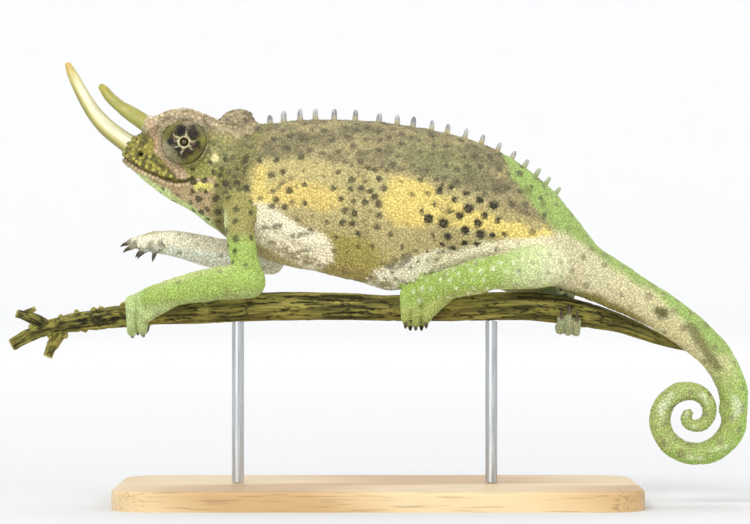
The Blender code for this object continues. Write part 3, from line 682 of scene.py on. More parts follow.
def packIslands(part, u, v):
    # shelves of islands, the longest first, filling a square
    sizes = {}
    for index in np.unique(part):
        chosen = np.array([u[part == index], v[part == index]])
        sizes[index] = (chosen.min(axis=1), np.ptp(chosen, axis=1))
    width = max(size[0] for _, size in sizes.values()) + 2
    x, y, shelf = 1.0, 1.0, 0.0
    place = np.zeros((len(part), 2))
    for index, (low, size) in sorted(sizes.items(), key=lambda entry: -entry[1][1][0]):
        if x + size[0] + 1 > width:
            x, y, shelf = 1.0, y + shelf + 1, 0.0
        chosen = part == index
        place[chosen, 0] = u[chosen] - low[0] + x
        place[chosen, 1] = v[chosen] - low[1] + y
        x, shelf = x + size[0] + 1, max(shelf, size[1])
    return place / max(width, y + shelf + 1)


# The markings, one set for the skin and its scales

def ink(code):
    channels = np.array([int(code[i:i + 2], 16) / 255 for i in (0, 2, 4)])
    return np.where(channels < 0.04045, channels / 12.92, ((channels + 0.055) / 1.055) ** 2.4)


def lay(colours, code, weight):
    colours += (ink(code) - colours) * np.clip(weight, 0, 1)[:, None]


def oval(flat, centre, size, tilt=0, soft=0.35):
    turn = radians(tilt)
    away = flat - np.array(centre)
    x = (away[:, 0] * cos(turn) + away[:, 1] * sin(turn)) / size[0]
    z = (away[:, 1] * cos(turn) - away[:, 0] * sin(turn)) / size[1]
    return 1 - step(1 - soft, 1 + soft, np.hypot(x, z))


def lane(flat, line, width, soft=0.35):
    away, _ = lineDistance(flat, line)
    return 1 - step(width * (1 - soft), width * (1 + soft), away)


def above(flat, line, soft=1):
    line = np.array(line)
    return step(-soft, soft, flat[:, 1] - np.interp(flat[:, 0], line[:, 0], line[:, 1]))


def scatterSpots(points, wanted, spacing, seed):
    # skin points at least `spacing` apart
    draw = np.random.default_rng(seed)
    left = draw.permutation(np.flatnonzero(wanted))
    spacing = np.broadcast_to(spacing, len(points))
    chosen = []
    while len(left):
        spot = left[0]
        chosen.append(spot)
        near = awayFrom(points[left], points[spot])
        left = left[near > spacing[spot] * draw.uniform(0.8, 1.3)]
    return chosen


def spotWeight(points, chosen, size, seed, hollow):
    # soft round spots, often paler in the middle
    draw = np.random.default_rng(seed)
    tree = nearestTo(points[chosen])
    warped = points + 0.5 * (layeredNoise(points, 1.3, 2, 3.0) - 0.5)[:, None]
    found = [tree.find(point) for point in warped]
    radii = np.broadcast_to(size, len(points))[chosen] * draw.uniform(0.65, 1.4, len(chosen))
    radius = radii[[entry[1] for entry in found]]
    away = np.array([entry[2] for entry in found]) / radius
    return (1 - step(0.75, 1.2, away)) * (1 - hollow * bump(away, 0.4))


dorsalEdge = [(-40, 103.2), (-23, 103.8), (-8, 101.4), (6.6, 99.3), (21.6, 95.1), (36.6, 89.1),
              (50.1, 84), (60, 79)]
greenEdge = [(36, 110), (38.1, 99.6), (45.6, 89.4), (51, 83.4), (59.1, 78.9), (66.6, 73.2),
             (81.6, 63.6), (92, 54), (100, 45)]
tailUnder = [(44, 66.6), (52, 65.4), (60.6, 63.9), (72.6, 59.6), (84.6, 51.6)]
tailMarks = {"bend": (105, -4.5, 38), "coil": (94.4, -5, 11)}
tailAt = {}           # how far along the body each of those is


def layer(colours, on):
    # lays colours on one part of the body only
    return lambda code, weight=1: lay(colours, code, on * weight)


def paintTrunk(points, flat, colours, on):
    put, grain = layer(colours, on), layeredNoise(points, 1.1, 2, 11)
    put("C4B87E")                                     # yellow bands on tan
    put("E3CD7B", oval(flat, (-22, 92), (11.5, 4.4), -8))
    put("E0CB7C", oval(flat, (-24, 100), (13, 2.2), -4) * 0.35 * grain)
    put("E8D480", lane(flat, [(-36, 99), (-35, 91), (-28, 85)], 2.6, 0.5))
    put("E8D27C", oval(flat, (9.4, 90), (8.6, 8.4), 10, 0.22))
    put("EED980", lane(flat, [(18, 88), (30, 84), (42, 80.5), (51, 79.5)], 4, 0.25))
    put("BDB078", lane(flat, [(26.5, 90), (36.6, 87.2), (47, 83.6)], 1.9, 0.3))
    put("BDB078", lane(flat, [(-3, 101), (8, 99), (20, 95.5)], 1.7, 0.4))
    put("BFB27C", lane(flat, [(-30, 86), (-14, 83), (0, 79.8), (16, 78.6), (33, 78.2)], 3.6))
    for line, width in (([(-6.5, 104), (-5.4, 80)], 2.8), ([(19.6, 96), (21, 78)], 2.6)):
        put("8E875A", 0.55 * lane(flat, line, width, 0.5) * step(0.35, 0.6, grain))
    back = above(flat, dorsalEdge, 2)                 # the smoky back
    smoke = layeredNoise(points * [0.6, 1, 1], 4.5, 3, 91)
    put("9C926A", above(flat, dorsalEdge, 1.6))
    put("BAAE7A", back * 0.65 * step(0.5, 0.64, 1 - smoke))
    put("B9AD7A", back * 0.45 * (1 - step(-16, -2, flat[:, 0])))
    put("837B58", back * 0.7 * step(0.52, 0.66, smoke))
    put("716B50", back * 0.6 * step(0.52, 0.68, grain))
    put("93A365", above(flat, dorsalEdge) * 0.3 * oval(flat, (18, 102), (12, 5), -14, 0.6))
    put("AAA257", oval(flat, (-8.6, 74.4), (11, 6), -16, 0.3))        # the belly's patches
    put("B7A966", lane(flat, [(-14, 70.5), (-2, 68), (4, 67.5)], 2.4, 0.4))
    put("FCF5D6", lane(flat, [(-35.6, 84.5), (-27, 79), (-18.6, 75)], 5.6, 0.18))
    put("FFFADF", lane(flat, [(0.6, 66), (8, 68.5), (18.6, 72.4)], 3.8, 0.25))
    put("F5EDC9", lane(flat, [(18, 72.5), (30.6, 75.6), (42.6, 77), (54, 78)], 2.6, 0.3))
    for line, width in (([(-34.3, 82.4), (-29.1, 83)], 0.8), ([(-26, 80.4), (-20, 80.8)], 0.8),
                        ([(-23.7, 75.6), (-19.5, 75.5)], 0.6), ([(3.5, 71), (9, 73.6)], 1.5),
                        ([(5, 67.4), (9.5, 65.6)], 0.5), ([(-31.8, 93.2), (-27.6, 96)], 0.8)):
        put("6E6950", 0.8 * lane(flat, line, width, 0.5) * step(0.3, 0.5, grain))
    belly = [(-31, 77.2), (-20.4, 72.6), (-8, 69), (3, 65.6)]
    put("948752", 0.8 * lane(flat, belly, 1.7, 0.5) * step(0.36, 0.6, grain))


def paintTail(points, flat, low, u, colours, on):
    put, grain, x = layer(colours, on), layeredNoise(points, 1.4, 2, 21), flat[:, 0]
    cream = step(50, 54, x)
    put("D9D3AA", cream)
    put("D9D39C", cream * step(62, 86, x) * 0.7)
    put("938C4A", (1 - above(flat, tailUnder, 1.2)) * (1 - step(76, 86, x)) * step(46, 50, x))
    ragged = 4 * bump(points[:, 1], 3) + 6 * (layeredNoise(points, 4, 2, 95) - 0.5)
    put("A5BF6A", above(flat, greenEdge, 1.5) * step(37, 41, x + ragged))
    put("8C8B63", above(flat, greenEdge, 2.5) * (1 - above(flat, greenEdge, 5)) * 0.8
        * step(0.45, 0.62, grain))
    bend = step(tailAt["bend"] - 12, tailAt["bend"] + 6, u)
    put("ACC46A", bend)
    put("B0C272", step(tailAt["coil"] - 6, tailAt["coil"] + 10, u))
    put("A9CB66", bend * (1 - step(0.2, 0.42, low)) * (u < tailAt["coil"] + 8))
    put("8E9450", bend * step(0.62, 0.9, low) * 0.5)
    rings = step(0.55, 0.95, np.sin(2 * pi * u / 3.1 + 2 * layeredNoise(points, 5)))
    put("B9A981", 0.35 * rings * step(tailAt["bend"], tailAt["bend"] + 15, u))
    put("6F6E3E", oval(flat, (84.2, 57.4), (2.4, 1.8), -25, 0.4))
    put("7A7A44", 0.85 * lane(flat, [(92.6, 53), (97.6, 46), (101, 41)], 1.3, 0.6))
    pale = step(0.52, 0.66, layeredNoise(points, 4.2, 2, 33)) * between(0.25, 0.45, 0.5, 0.7, low)
    put("DCE8BF", 0.85 * pale * step(tailAt["bend"] - 4, tailAt["bend"] + 4, u))


def paintHead(points, flat, colours, on):
    put, grain, x = layer(colours, on), layeredNoise(points, 1.2, 2, 41), flat[:, 0]
    put("9C9A52")
    put("A39C76", above(flat, [(-70, 108), (-50, 110.5), (-38, 108)], 1.5))
    put("B3A47E", oval(flat, (-42, 113), (7.5, 5.6)))
    snout = oval(flat, (-71, 104), (6.6, 6.4), -38, 0.25)
    snout = np.maximum(snout, lane(flat, [(-72, 103), (-66, 100.3), (-60.5, 98.2)], 2.6, 0.3))
    put("A9A14A", snout)
    put("5C592C", snout * 0.92 * step(0.38, 0.52, noise(points, 1, 5)))
    brow = [(-70, 113), (-62, 112.6), (-52, 113.4), (-47, 111), (-43, 109), (-36, 107.6)]
    put("D2C19C", above(flat, brow, 1.2) * (1 - step(-50, -44, x)))
    upper = [(-70, 113), (-60, 114), (-47, 112), (-36, 109)]
    put("8D7F6A", above(flat, upper, 2) * 0.6 * step(0.5, 0.66, grain))
    ridge = [(-67.8, 113.2), (-66.2, 109), (-64.1, 104.9), (-61.1, 101.2), (-58, 98.3)]
    put("C4AB88", lane(flat, ridge, 1.5, 0.3))
    crown = step(109.5, 112, points[:, 2]) * (1 - step(3, 4.6, np.abs(points[:, 1])))
    put("94896A", crown * 0.6 * step(0.42, 0.6, layeredNoise(points, 2.6, 2, 45)))
    put("6F674C", crown * 0.7 * step(0.56, 0.66, layeredNoise(points, 1.6, 2, 47)))
    cheek = oval(flat, (-46.4, 105.6), (6, 5.2), 10, 0.4)
    put("A29D63", cheek)
    put("6F7350", cheek * 0.8 * step(0.48, 0.6, noise(points, 1.3, 8)))
    chin = (1 - above(flat, mouthLine, 0.25)) * (x < -44) * above(flat, [(-78, 60), (-44, 60)])
    put("C2AB82", chin * (1 - step(-51, -46, x)))
    edge = [(-78, 102.4), (-75.1, 101.2), (-70.8, 98.2), (-66, 95.3), (-61.2, 92.7),
            (-56.4, 90), (-53.5, 88), (-46.6, 83.7)]
    put("D2E49C", 1 - above(flat, edge, 0.7))
    put("E9E07C", oval(flat, (-52, 94.8), (2.9, 1.5), 0, 0.2))
    put("EFE6A6", oval(flat, (-48.4, 102.9), (1, 1.7), 20, 0.3))
    x, plain = points[:, 0], points[:, [0, 2]]        # what follows isn't warped
    put("575130", 0.5 * (1 - step(6.8, 8.2, eyeDistance(points))) * (x < -50))
    # painted shade: the nostril's opening near black
    put("17140B", (1 - step(0.45, 0.8, awayFrom(plain, nostril))) * (x < -60))
    put("4A4024", 0.8 * bump(lineDistance(plain, mouthLine)[0], 0.5) * (x < -54))


def paintNeck(points, colours, on):
    put = layer(colours, on)
    put("8E8852")
    put("827D50", step(0.45, 0.65, layeredNoise(points, 3, 2, 51)) * 0.7)


def paintLimbs(points, flat, place, colours):
    name, x, z = np.array(partNames)[place["part"]], *flat.T
    green, grain = "ABC664", layeredNoise(points, 1.6, 2, 61)

    def of(*starts):
        return np.any([np.char.startswith(name, start) for start in starts], axis=0) * 1.0

    put = layer(colours, of("armLeft"))
    put("A5A05E")
    put("D6DDA0", (1 - step(-45.6, -43.6, x)) * (1 - step(85, 90, z)))
    put(green, 1 - step(77, 82, z))
    put = layer(colours, of("forearmLeft", "palmLeft", "heelHand"))
    put(green)
    put("D2DE92", 0.8 * above(flat, [(-74, 64.5), (-64, 65.3), (-54, 68), (-44, 70),
                                     (-36, 71.5)], 1.5))
    low = 1 - above(flat, [(-74, 59.5), (-64, 60.6), (-54, 61.6), (-44, 63.4), (-36, 64)], 1.3)
    put("B4C97E", low * 0.7)
    # partly the hand's own paler green, and partly painted light that lifts the shade in the
    # creases of the palm
    lay(colours, "CFE2A0", of("palmLeft", "heelHand") * 0.6)
    put("9C9A70", low * 0.5 * step(0.5, 0.65, grain))
    put = layer(colours, of("armRight", "forearmRight", "palmRight", "open"))
    put("FFF9E0")
    put("BDB47C", above(flat, [(-74, 80.6), (-62, 81.6), (-50, 79.8), (-36, 76.6)], 0.8))
    # the under side near white: its own pale colour, made paler still as painted light against the
    # shade beneath the arm
    put("F6FCEA", 1 - above(flat, [(-74, 76), (-62, 77.4), (-50, 75.4), (-36, 73.6)], 0.8))
    tips = 1 - step(-74.4, -71.6, x + 1.2 * (z - 77.5))
    lay(colours, "6E6A50", of("open") * 0.75 * step(0.35, 0.6, grain + 0.3 * tips))
    put = layer(colours, of("thighLeft", "shankLeft", "soleLeft", "heelFoot"))
    put(green)
    put("DCE7AE", step(33, 46, x) * 0.85)
    put("F1ECC6", step(46, 53, x) * 0.75)
    put("DDE4B0", above(flat, [(10, 68), (20, 70.5), (32, 74.4), (54, 78.5)], 0.8) * 0.7)
    put("B9C173", (1 - above(flat, [(10, 59), (20, 62.5), (32, 64.5), (54, 66)])) * 0.7)
    put = layer(colours, of("thighRight", "shankRight", "soleRight"))
    put(green)
    put("E6E6C0", step(40, 52, x) * step(66, 72, z) * 0.85)
    put("A9B58A", 1 - step(62, 67, z))
    put("B7AC79", 0.6 * step(0.52, 0.66, grain))


def paintSpots(points, flat, place, colours):
    name = np.array(partNames)[place["part"]]
    x, z = flat.T
    body = name == "body"
    trunk = body & (x > -40) & (x < 50)
    flank = trunk & (z > 75) & (np.interp(x, *np.array(dorsalEdge).T) > z)
    back = trunk & ~flank & (z > 84)
    black = oval(flat, (25, 86), (11.5, 10.5), 0, 0.2) > 0.5
    column = np.maximum(oval(flat, (-4.5, 92), (7.5, 13), 0, 0.4),
                        oval(flat, (-27.5, 94), (6, 11), 0, 0.4))
    neck = body & (x < -38) & (x > -56) & (z < 104) & (z > 84)
    throat = body & (x < -50) & (z < 95)
    hindPatch = oval(flat, (8, 70.5), (11, 4.5), 20) > 0.4
    pale = lane(flat, [(-35.6, 84.5), (-27, 79), (-18.6, 75)], 5.2, 0.1) > 0.5
    arm = np.char.startswith(name, "armLeft")
    hind = np.isin(name, ["thighLeft", "shankLeft", "soleLeft"])
    fore = np.isin(name, ["forearmLeft", "palmLeft", "forearmRight"])
    tail = body & (x > 50)
    spots = [         # where, spacing, size, colour, strength, hollow
        (flank & ~black & ~pale, 3.9 - 1.3 * column, 0.62 + 0.16 * column, "33301B", 0.95, 0.3),
        (flank & black, 3.3, 1.15, "12110B", 1, 0.15),
        (back, 3.3, 0.8, "4E4938", 0.8, 0.25),
        (back, 6.5, 1.8, "6A6348", 0.5, 0),
        (neck, 2.7 - 0.6 * oval(flat, (-44.5, 98.5), (5, 6)), 0.85, "34331F", 0.92, 0.25),
        (throat, 3.2, 0.62, "6E6A4E", 0.85, 0.3),
        (body & hindPatch, 2.9, 0.5, "4C4834", 0.8, 0),
        (arm, 3.4, 0.8, "3A4022", 0.92, 0.3),
        (hind & (x > 9), 2.7, 0.75, "DDE6B8", 0.9, 0),
        (hind & (x > 9), 4.2, 0.5, "8D9166", 0.8, 0.2),
        (fore & (x > -66), 4.6, 0.55, "8F8B62", 0.7, 0.3),
        (tail, 4.6, 0.8, "857F5C", 0.75, 0.4),
    ]
    for i, (where, spacing, size, code, strength, hollow) in enumerate(spots):
        centres = scatterSpots(points, where, spacing, i)
        weight = strength * spotWeight(points, centres, size, i, hollow)
        lay(colours, code, weight * step(0.5, 1, where * 1.0 + 0.6))


def behindHead(x, z):
    # from the border that slants down and back from the casque
    return x + 38 - 0.29 * (z - 113.7)


def paintHide(points, place):
    print("painting the markings")
    warp = np.column_stack([layeredNoise(points, 3.5, 3, shift) - 0.5 for shift in (0, 17)])
    flat = points[:, [0, 2]] + 2.2 * warp             # so that the edges wander
    colours = np.tile(ink("A8A060"), (len(points), 1))
    body = (place["part"] == partNames.index("body")) * 1.0
    for name, spot in tailMarks.items():
        tailAt[name] = place["u"][np.argmin(awayFrom(points, spot))]
    low = np.clip(np.abs(place["v"]) / np.interp(place["u"], *girth), 0, 1)
    lean = behindHead(*flat.T)
    paintTrunk(points, flat, colours, body)
    paintTail(points, flat, low, place["u"], colours, body)
    paintNeck(points, colours, body * (1 - step(2, 8, lean)))
    nape = 3.5 * step(108.5, 110.5, flat[:, 1])
    ragged = 3.0 * (layeredNoise(points, 3, 2, 97) - 0.5) + 2.5 * bump(points[:, 1], 3)
    paintHead(points, flat, colours, body * (1 - step(-4, -1.5, lean - nape - ragged)))
    paintLimbs(points, flat, place, colours)
    paintSpots(points, points[:, [0, 2]], place, colours)
    return np.clip(colours, 0, 1)


# Node trees

def newTree(name, inputs):
    tree = bpy.data.node_groups.new(name, "GeometryNodeTree")
    tree.is_modifier = True
    sockets = tree.interface
    sockets.new_socket(name="Geometry", in_out="INPUT", socket_type="NodeSocketGeometry")
    for label, kind in inputs:
        sockets.new_socket(name=label, in_out="INPUT", socket_type="NodeSocket" + kind)
    sockets.new_socket(name="Geometry", in_out="OUTPUT", socket_type="NodeSocketGeometry")
    return tree


def addNode(tree, kind, settings=None, **links):
    # inputs go by name with _ for a space, or by _ and a number; a plain value sets a socket
    node = tree.nodes.new(kind)
    for key, value in (settings or {}).items():
        setattr(node, key, value)
    for key, value in links.items():
        name = int(key[1:]) if key[1:].isdigit() else key.replace("_", " ")
        socket = node.inputs[name]
        if isinstance(value, bpy.types.NodeSocket):
            tree.links.new(value, socket)
        else:
            socket.default_value = value
    return node


def sums(tree, operation, *values):
    return addNode(tree, "ShaderNodeMath", {"operation": operation},
                   **{f"_{i}": value for i, value in enumerate(values)}).outputs[0]


def named(tree, name, kind):
    return addNode(tree, "GeometryNodeInputNamedAttribute", {"data_type": kind},
                   Name=name).outputs["Attribute"]


def useTree(item, tree, values):
    modifier = item.modifiers.new(tree.name, "NODES")
    modifier.node_group = tree
    for entry in tree.interface.items_tree:
        if entry.in_out == "INPUT" and entry.name in values:
            modifier[entry.identifier] = values[entry.name]
    bake(item)
    item.data.materials.clear()
    item.data.materials.append(values["Finish"])


def shapeOf(tree, item):
    return addNode(tree, "GeometryNodeObjectInfo", {"transform_space": "ORIGINAL"},
                   Object=item).outputs["Geometry"]


def varied(tree, low, high, seed):
    return addNode(tree, "FunctionNodeRandomValue", {"data_type": "FLOAT"}, _2=low, _3=high,
                   Seed=seed).outputs[1]


def turnedTo(tree, rotation, lie):
    return addNode(tree, "FunctionNodeAlignRotationToVector",
                   {"axis": "X", "pivot_axis": "Z"}, Rotation=rotation, Vector=lie).outputs[0]


spread = {            # each scale's size and tint vary within these shares
    "smallest": 0.86, "largest": 1.12, "darkest": 0.88, "palest": 1.1,
    "tries": 6,       # points tried in each square of the spacing
    "plateRoom": 0.5, "granuleRoom": 0.34,            # kept clear round a plate
    "widest": 1.35, "overlap": 1.24,                  # a granule's width, by its nearest one
}


def growScales(tree, points, rotation, shape, size, values):
    # one scale on each point, tilted so that its hind edge lifts
    tilt = addNode(tree, "ShaderNodeCombineXYZ", Y=values["Tilt"]).outputs[0]
    tilted = addNode(tree, "FunctionNodeRotateRotation", {"rotation_space": "LOCAL"},
                     Rotation=rotation, Rotate_By=addNode(tree, "FunctionNodeEulerToRotation",
                                                          Euler=tilt).outputs[0]).outputs[0]
    vary = varied(tree, spread["smallest"], spread["largest"], values["Seed"])
    across = sums(tree, "MULTIPLY", size, vary)
    scale = addNode(tree, "ShaderNodeCombineXYZ", X=across, Y=across,
                    Z=sums(tree, "MULTIPLY", across, values["Height"])).outputs[0]
    return addNode(tree, "GeometryNodeInstanceOnPoints", Points=points, Rotation=tilted,
                   Instance=shapeOf(tree, shape), Scale=scale).outputs[0]


def scaleTree():
    tree = newTree("scaleField", [("Zone", "Int"), ("Granule Spacing", "Float"),
                                  ("Plate Spacing", "Float"), ("Plate Size", "Float"),
                                  ("Height", "Float"), ("Tilt", "Float"), ("Seed", "Int"),
                                  ("Granule", "Object"), ("Plate", "Object"),
                                  ("Finish", "Material")])
    values = tree.nodes.new("NodeGroupInput").outputs
    chosen = addNode(tree, "FunctionNodeCompare", {"data_type": "INT", "operation": "EQUAL"},
                     _2=named(tree, "zone", "INT"), _3=values["Zone"]).outputs[0]
    lie, fields = named(tree, "lie", "FLOAT_VECTOR"), []
    for spacing in ("Plate Spacing", "Granule Spacing"):
        density = sums(tree, "MULTIPLY", sums(tree, "POWER", values[spacing], -2),
                       spread["tries"])
        fields.append(addNode(tree, "GeometryNodeDistributePointsOnFaces",
                              {"distribute_method": "POISSON"}, Mesh=values["Geometry"],
                              Selection=chosen, Distance_Min=values[spacing],
                              Density_Max=density, Seed=values["Seed"]).outputs)
    plates, granules = fields
    near = addNode(tree, "GeometryNodeProximity", {"target_element": "POINTS"},
                   Geometry=plates["Points"]).outputs["Distance"]
    reach = sums(tree, "MULTIPLY_ADD", values["Plate Size"], spread["plateRoom"],
                 sums(tree, "MULTIPLY", values["Granule Spacing"], spread["granuleRoom"]))
    crowded = addNode(tree, "FunctionNodeCompare", {"operation": "LESS_THAN"}, _0=near,
                      _1=reach).outputs[0]
    small = addNode(tree, "GeometryNodeDeleteGeometry", {"domain": "POINT"},
                    Geometry=granules["Points"], Selection=crowded).outputs[0]
    place = tree.nodes.new("GeometryNodeInputPosition").outputs[0]
    other = addNode(tree, "GeometryNodeSampleIndex", {"data_type": "FLOAT_VECTOR"},
                    Geometry=small, Value=place,
                    Index=tree.nodes.new("GeometryNodeIndexOfNearest").outputs[0]).outputs[0]
    gap = addNode(tree, "ShaderNodeVectorMath", {"operation": "DISTANCE"}, _0=place,
                  _1=other).outputs["Value"]
    most = sums(tree, "MULTIPLY", values["Granule Spacing"], spread["widest"])
    width = sums(tree, "MULTIPLY", sums(tree, "MINIMUM", gap, most), spread["overlap"])
    joined = tree.nodes.new("GeometryNodeJoinGeometry")
    for points, rotation, shape, size in (
            (plates["Points"], plates["Rotation"], values["Plate"], values["Plate Size"]),
            (small, granules["Rotation"], values["Granule"], width)):
        tint = varied(tree, spread["darkest"], spread["palest"], values["Seed"])
        root = named(tree, "OFBake", "FLOAT_VECTOR")
        for name, kind, value in (("tint", "FLOAT", tint), ("root", "FLOAT_VECTOR", root)):
            points = addNode(tree, "GeometryNodeStoreNamedAttribute", {"data_type": kind},
                             Geometry=points, Name=name, Value=value).outputs[0]
        field = growScales(tree, points, turnedTo(tree, rotation, lie), shape, size, values)
        tree.links.new(field, joined.inputs[0])
    finishTree(tree, joined.outputs[0], values["Finish"])
    return tree


def finishTree(tree, geometry, finish):
    real = addNode(tree, "GeometryNodeRealizeInstances", Geometry=geometry).outputs[0]
    painted = addNode(tree, "GeometryNodeSetMaterial", Geometry=real, Material=finish).outputs[0]
    tree.links.new(painted, tree.nodes.new("NodeGroupOutput").inputs[0])


def plantTree():
    # one shape on each vertex, standing along `up` and facing along `lie`, `size` across
    tree = newTree("plantRow", [("Shape", "Object"), ("Finish", "Material")])
    values = tree.nodes.new("NodeGroupInput").outputs
    standing = addNode(tree, "FunctionNodeAlignRotationToVector", {"axis": "Z"},
                       Vector=named(tree, "up", "FLOAT_VECTOR")).outputs[0]
    facing = turnedTo(tree, standing, named(tree, "lie", "FLOAT_VECTOR"))
    row = addNode(tree, "GeometryNodeInstanceOnPoints", Points=values["Geometry"],
                  Instance=shapeOf(tree, values["Shape"]), Rotation=facing,
                  Scale=named(tree, "size", "FLOAT_VECTOR")).outputs[0]
    finishTree(tree, row, values["Finish"])
    return tree


def domeShape(name, levels, sides):
    # a closed scale one unit across, from (radius, height) levels and its top's height
    points = [(radius * cos(angle), radius * sin(angle), height)
              for radius, height in levels[:-1] for angle in circle(sides)]
    points = np.array(points + [(0, 0, levels[-1][1])])
    faces = ringFaces(len(levels) - 1, sides) + [tuple(range(sides))[::-1]]
    last, top = (len(levels) - 2) * sides, len(points) - 1
    faces += [(last + i, last + (i + 1) % sides, top) for i in range(sides)]
    dome = meshObject(name, points / mm, faces)
    store(dome.data, "rise", "FLOAT", np.clip(points[:, 2] / levels[-1][1], 0, 1))
    corners = readAll(dome.data.loops, "vertex_index", 1, int)
    dome.data.uv_layers.new(name="leaf").data.foreach_set("uv", points[corners, :2].ravel())
    return dome


# Materials

def newMaterial(name, roughness, metallic=0.0, specular=0.5):
    material = bpy.data.materials.new(name)
    material.use_nodes = True
    shader = material.node_tree.nodes["Principled BSDF"]
    shader.inputs["Roughness"].default_value = roughness
    shader.inputs["Metallic"].default_value = metallic
    shader.inputs["Specular IOR Level"].default_value = specular
    return material, material.node_tree, shader


def attribute(tree, name, output="Fac"):
    return addNode(tree, "ShaderNodeAttribute", {"attribute_name": name}).outputs[output]


def blended(tree, share, first, second, way="MIX"):
    return addNode(tree, "ShaderNodeMix", {"data_type": "RGBA", "blend_type": way},
                   _0=share, _6=first, _7=second).outputs[2]


def tinted(tree, colour, amount):
    return blended(tree, 1, colour, amount, "MULTIPLY")


def ramp(tree, value, stops):
    node = addNode(tree, "ShaderNodeValToRGB", Fac=value)
    while len(node.color_ramp.elements) < len(stops):
        node.color_ramp.elements.new(0.5)
    for element, (place, colour) in zip(node.color_ramp.elements, stops):
        element.position = place
        element.color = (*(ink(colour) if isinstance(colour, str) else [colour] * 3), 1)
    return node.outputs["Color"]


def shaded(tree, colour, *shades):
    # the colour darkened or lit by each source through its ramp
    for source, stops in shades:
        colour = tinted(tree, colour, ramp(tree, source, stops))
    return colour


def feed(shader, colour, socket="Base Color"):
    shader.id_data.links.new(colour, shader.inputs[socket])


def texture(tree, kind, scale, stretch=(1, 1, 1), turn=(0, 0, 0), **settings):
    place = addNode(tree, "ShaderNodeTexCoord").outputs["Object"]
    mapped = addNode(tree, "ShaderNodeMapping", Vector=place, Scale=stretch,
                     Rotation=turn).outputs[0]
    return addNode(tree, "ShaderNodeTex" + kind, Vector=mapped, Scale=scale,
                   **settings).outputs["Fac"]


def bumped(tree, shader, height, distance, strength=0.6):
    node = addNode(tree, "ShaderNodeBump", Height=height, Distance=distance * mm,
                   Strength=strength)
    feed(shader, node.outputs[0], "Normal")


def skinMaterial():
    # the bare skin between the scales, in shade
    material, tree, shader = newMaterial("chameleon skin", 0.62, specular=0.3)
    feed(shader, tinted(tree, attribute(tree, "hide", "Color"), (0.66, 0.63, 0.58, 1)))
    bumped(tree, shader, texture(tree, "Noise", 2600, Detail=4), 0.12)
    return material


def scaleMaterial():
    material, tree, shader = newMaterial("chameleon scales", 0.46, specular=0.4)
    rise = attribute(tree, "rise")
    # painted shade: each scale, spine and row scale is darker towards its foot, in the gaps between
    # the scales
    colour = shaded(tree, attribute(tree, "hide", "Color"), (rise, [(0, 0.6), (0.4, 0.92), (1, 1)]))
    bright = addNode(tree, "ShaderNodeHueSaturation", Color=colour,
                     Value=attribute(tree, "tint")).outputs[0]
    grain = texture(tree, "Noise", 3400, Detail=3)
    feed(shader, shaded(tree, bright, (grain, [(0.3, 0.88), (0.7, 1.06)])))
    bumped(tree, shader, grain, 0.05)
    return material


# The coat of scales

zones = {"bare": 0, "head": 1, "jaw": 2, "leftSide": 3, "rightSide": 4, "tail": 5, "limbs": 6,
         "feet": 7}
bareAround = {"eye": 6.6, "mouth": 1.75, "nostril": 0.75, "noseHorn": 2.9, "browHorn": 2.4}


def markZones(skin, place, faceParts, centres):
    # the zones that the scales are grown in, and how they lie
    names = np.array(partNames)[faceParts]
    x, y, z = centres.T
    flat = centres[:, [0, 2]]
    zone = np.full(len(centres), zones["limbs"])
    feet = np.any([np.char.startswith(names, start) for start in ("palm", "sole", "heel")], axis=0)
    zone[feet | np.char.startswith(names, "open")] = zones["feet"]
    body = names == "body"
    zone[body] = np.where(y[body] < 0, zones["leftSide"], zones["rightSide"])
    zone[body & (x > 56)] = zones["tail"]
    lean = behindHead(x, z)
    head = body & (lean < -2 + 3.5 * (z > 109))
    zone[head] = zones["head"]
    zone[head & (z < np.interp(x, *np.array(mouthLine).T) - 1.5) & (x < -40)] = zones["jaw"]
    zone[body & (lean < 4) & (z < 96) & (zone != zones["head"])] = zones["jaw"]
    zone[(eyeDistance(centres) < bareAround["eye"]) & (x < -48)] = zones["bare"]
    mouth, _ = lineDistance(flat, mouthLine)
    mouth = (mouth < bareAround["mouth"]) & ((np.abs(y) > 1) | (x < -74.5))
    hole = (awayFrom(flat, nostril) < bareAround["nostril"]) & (x < -60)
    zone[head & (mouth | hole)] = zones["bare"]
    for foot, name in ((noseHorn[0], "noseHorn"), (browHorn[0], "browHorn")):
        for side in (1, -1):
            spot = (foot[0], foot[1] * side, foot[2])
            zone[awayFrom(centres, spot) < bareAround[name]] = zones["bare"]
    store(skin.data, "zone", "INT", zone)
    store(skin.data, "lie", "FLOAT_VECTOR", place["along"])


scaleFields = {       # granule spacing, plate spacing, plate size, height, tilt in degrees
    "head": (0.56, 1.4, 1.3, 0.72, 6), "jaw": (0.58, 2, 0.9, 0.7, 6),
    "leftSide": (0.68, 2.2, 1, 0.66, 5), "rightSide": (0.68, 2.2, 1, 0.66, 5),
    "tail": (0.66, 1.9, 0.9, 0.7, 8), "limbs": (0.64, 1.9, 0.95, 0.7, 6),
    "feet": (0.58, 2.4, 0.8, 0.75, 8),
}
lidField = (0.5, 40, 0.6, 0.8, 0)
plateLevels = [(0.5, -0.1), (0.47, 0.07), (0.30, 0.16), (0, 0.19)]
granuleLevels = [(0.5, -0.1), (0.39, 0.13), (0, 0.21)]


def growCoat(skin, finish):
    tree = scaleTree()
    plate = domeShape("plateShape", plateLevels, 7)
    granule = domeShape("granuleShape", granuleLevels, 6)
    pieces = [growPiece("coat_" + name, skin, tree, zones[name], field, number + 3,
                        granule, plate, finish)
              for number, (name, field) in enumerate(scaleFields.items())]
    for shape in (plate, granule):
        bpy.data.objects.remove(shape)
    return pieces


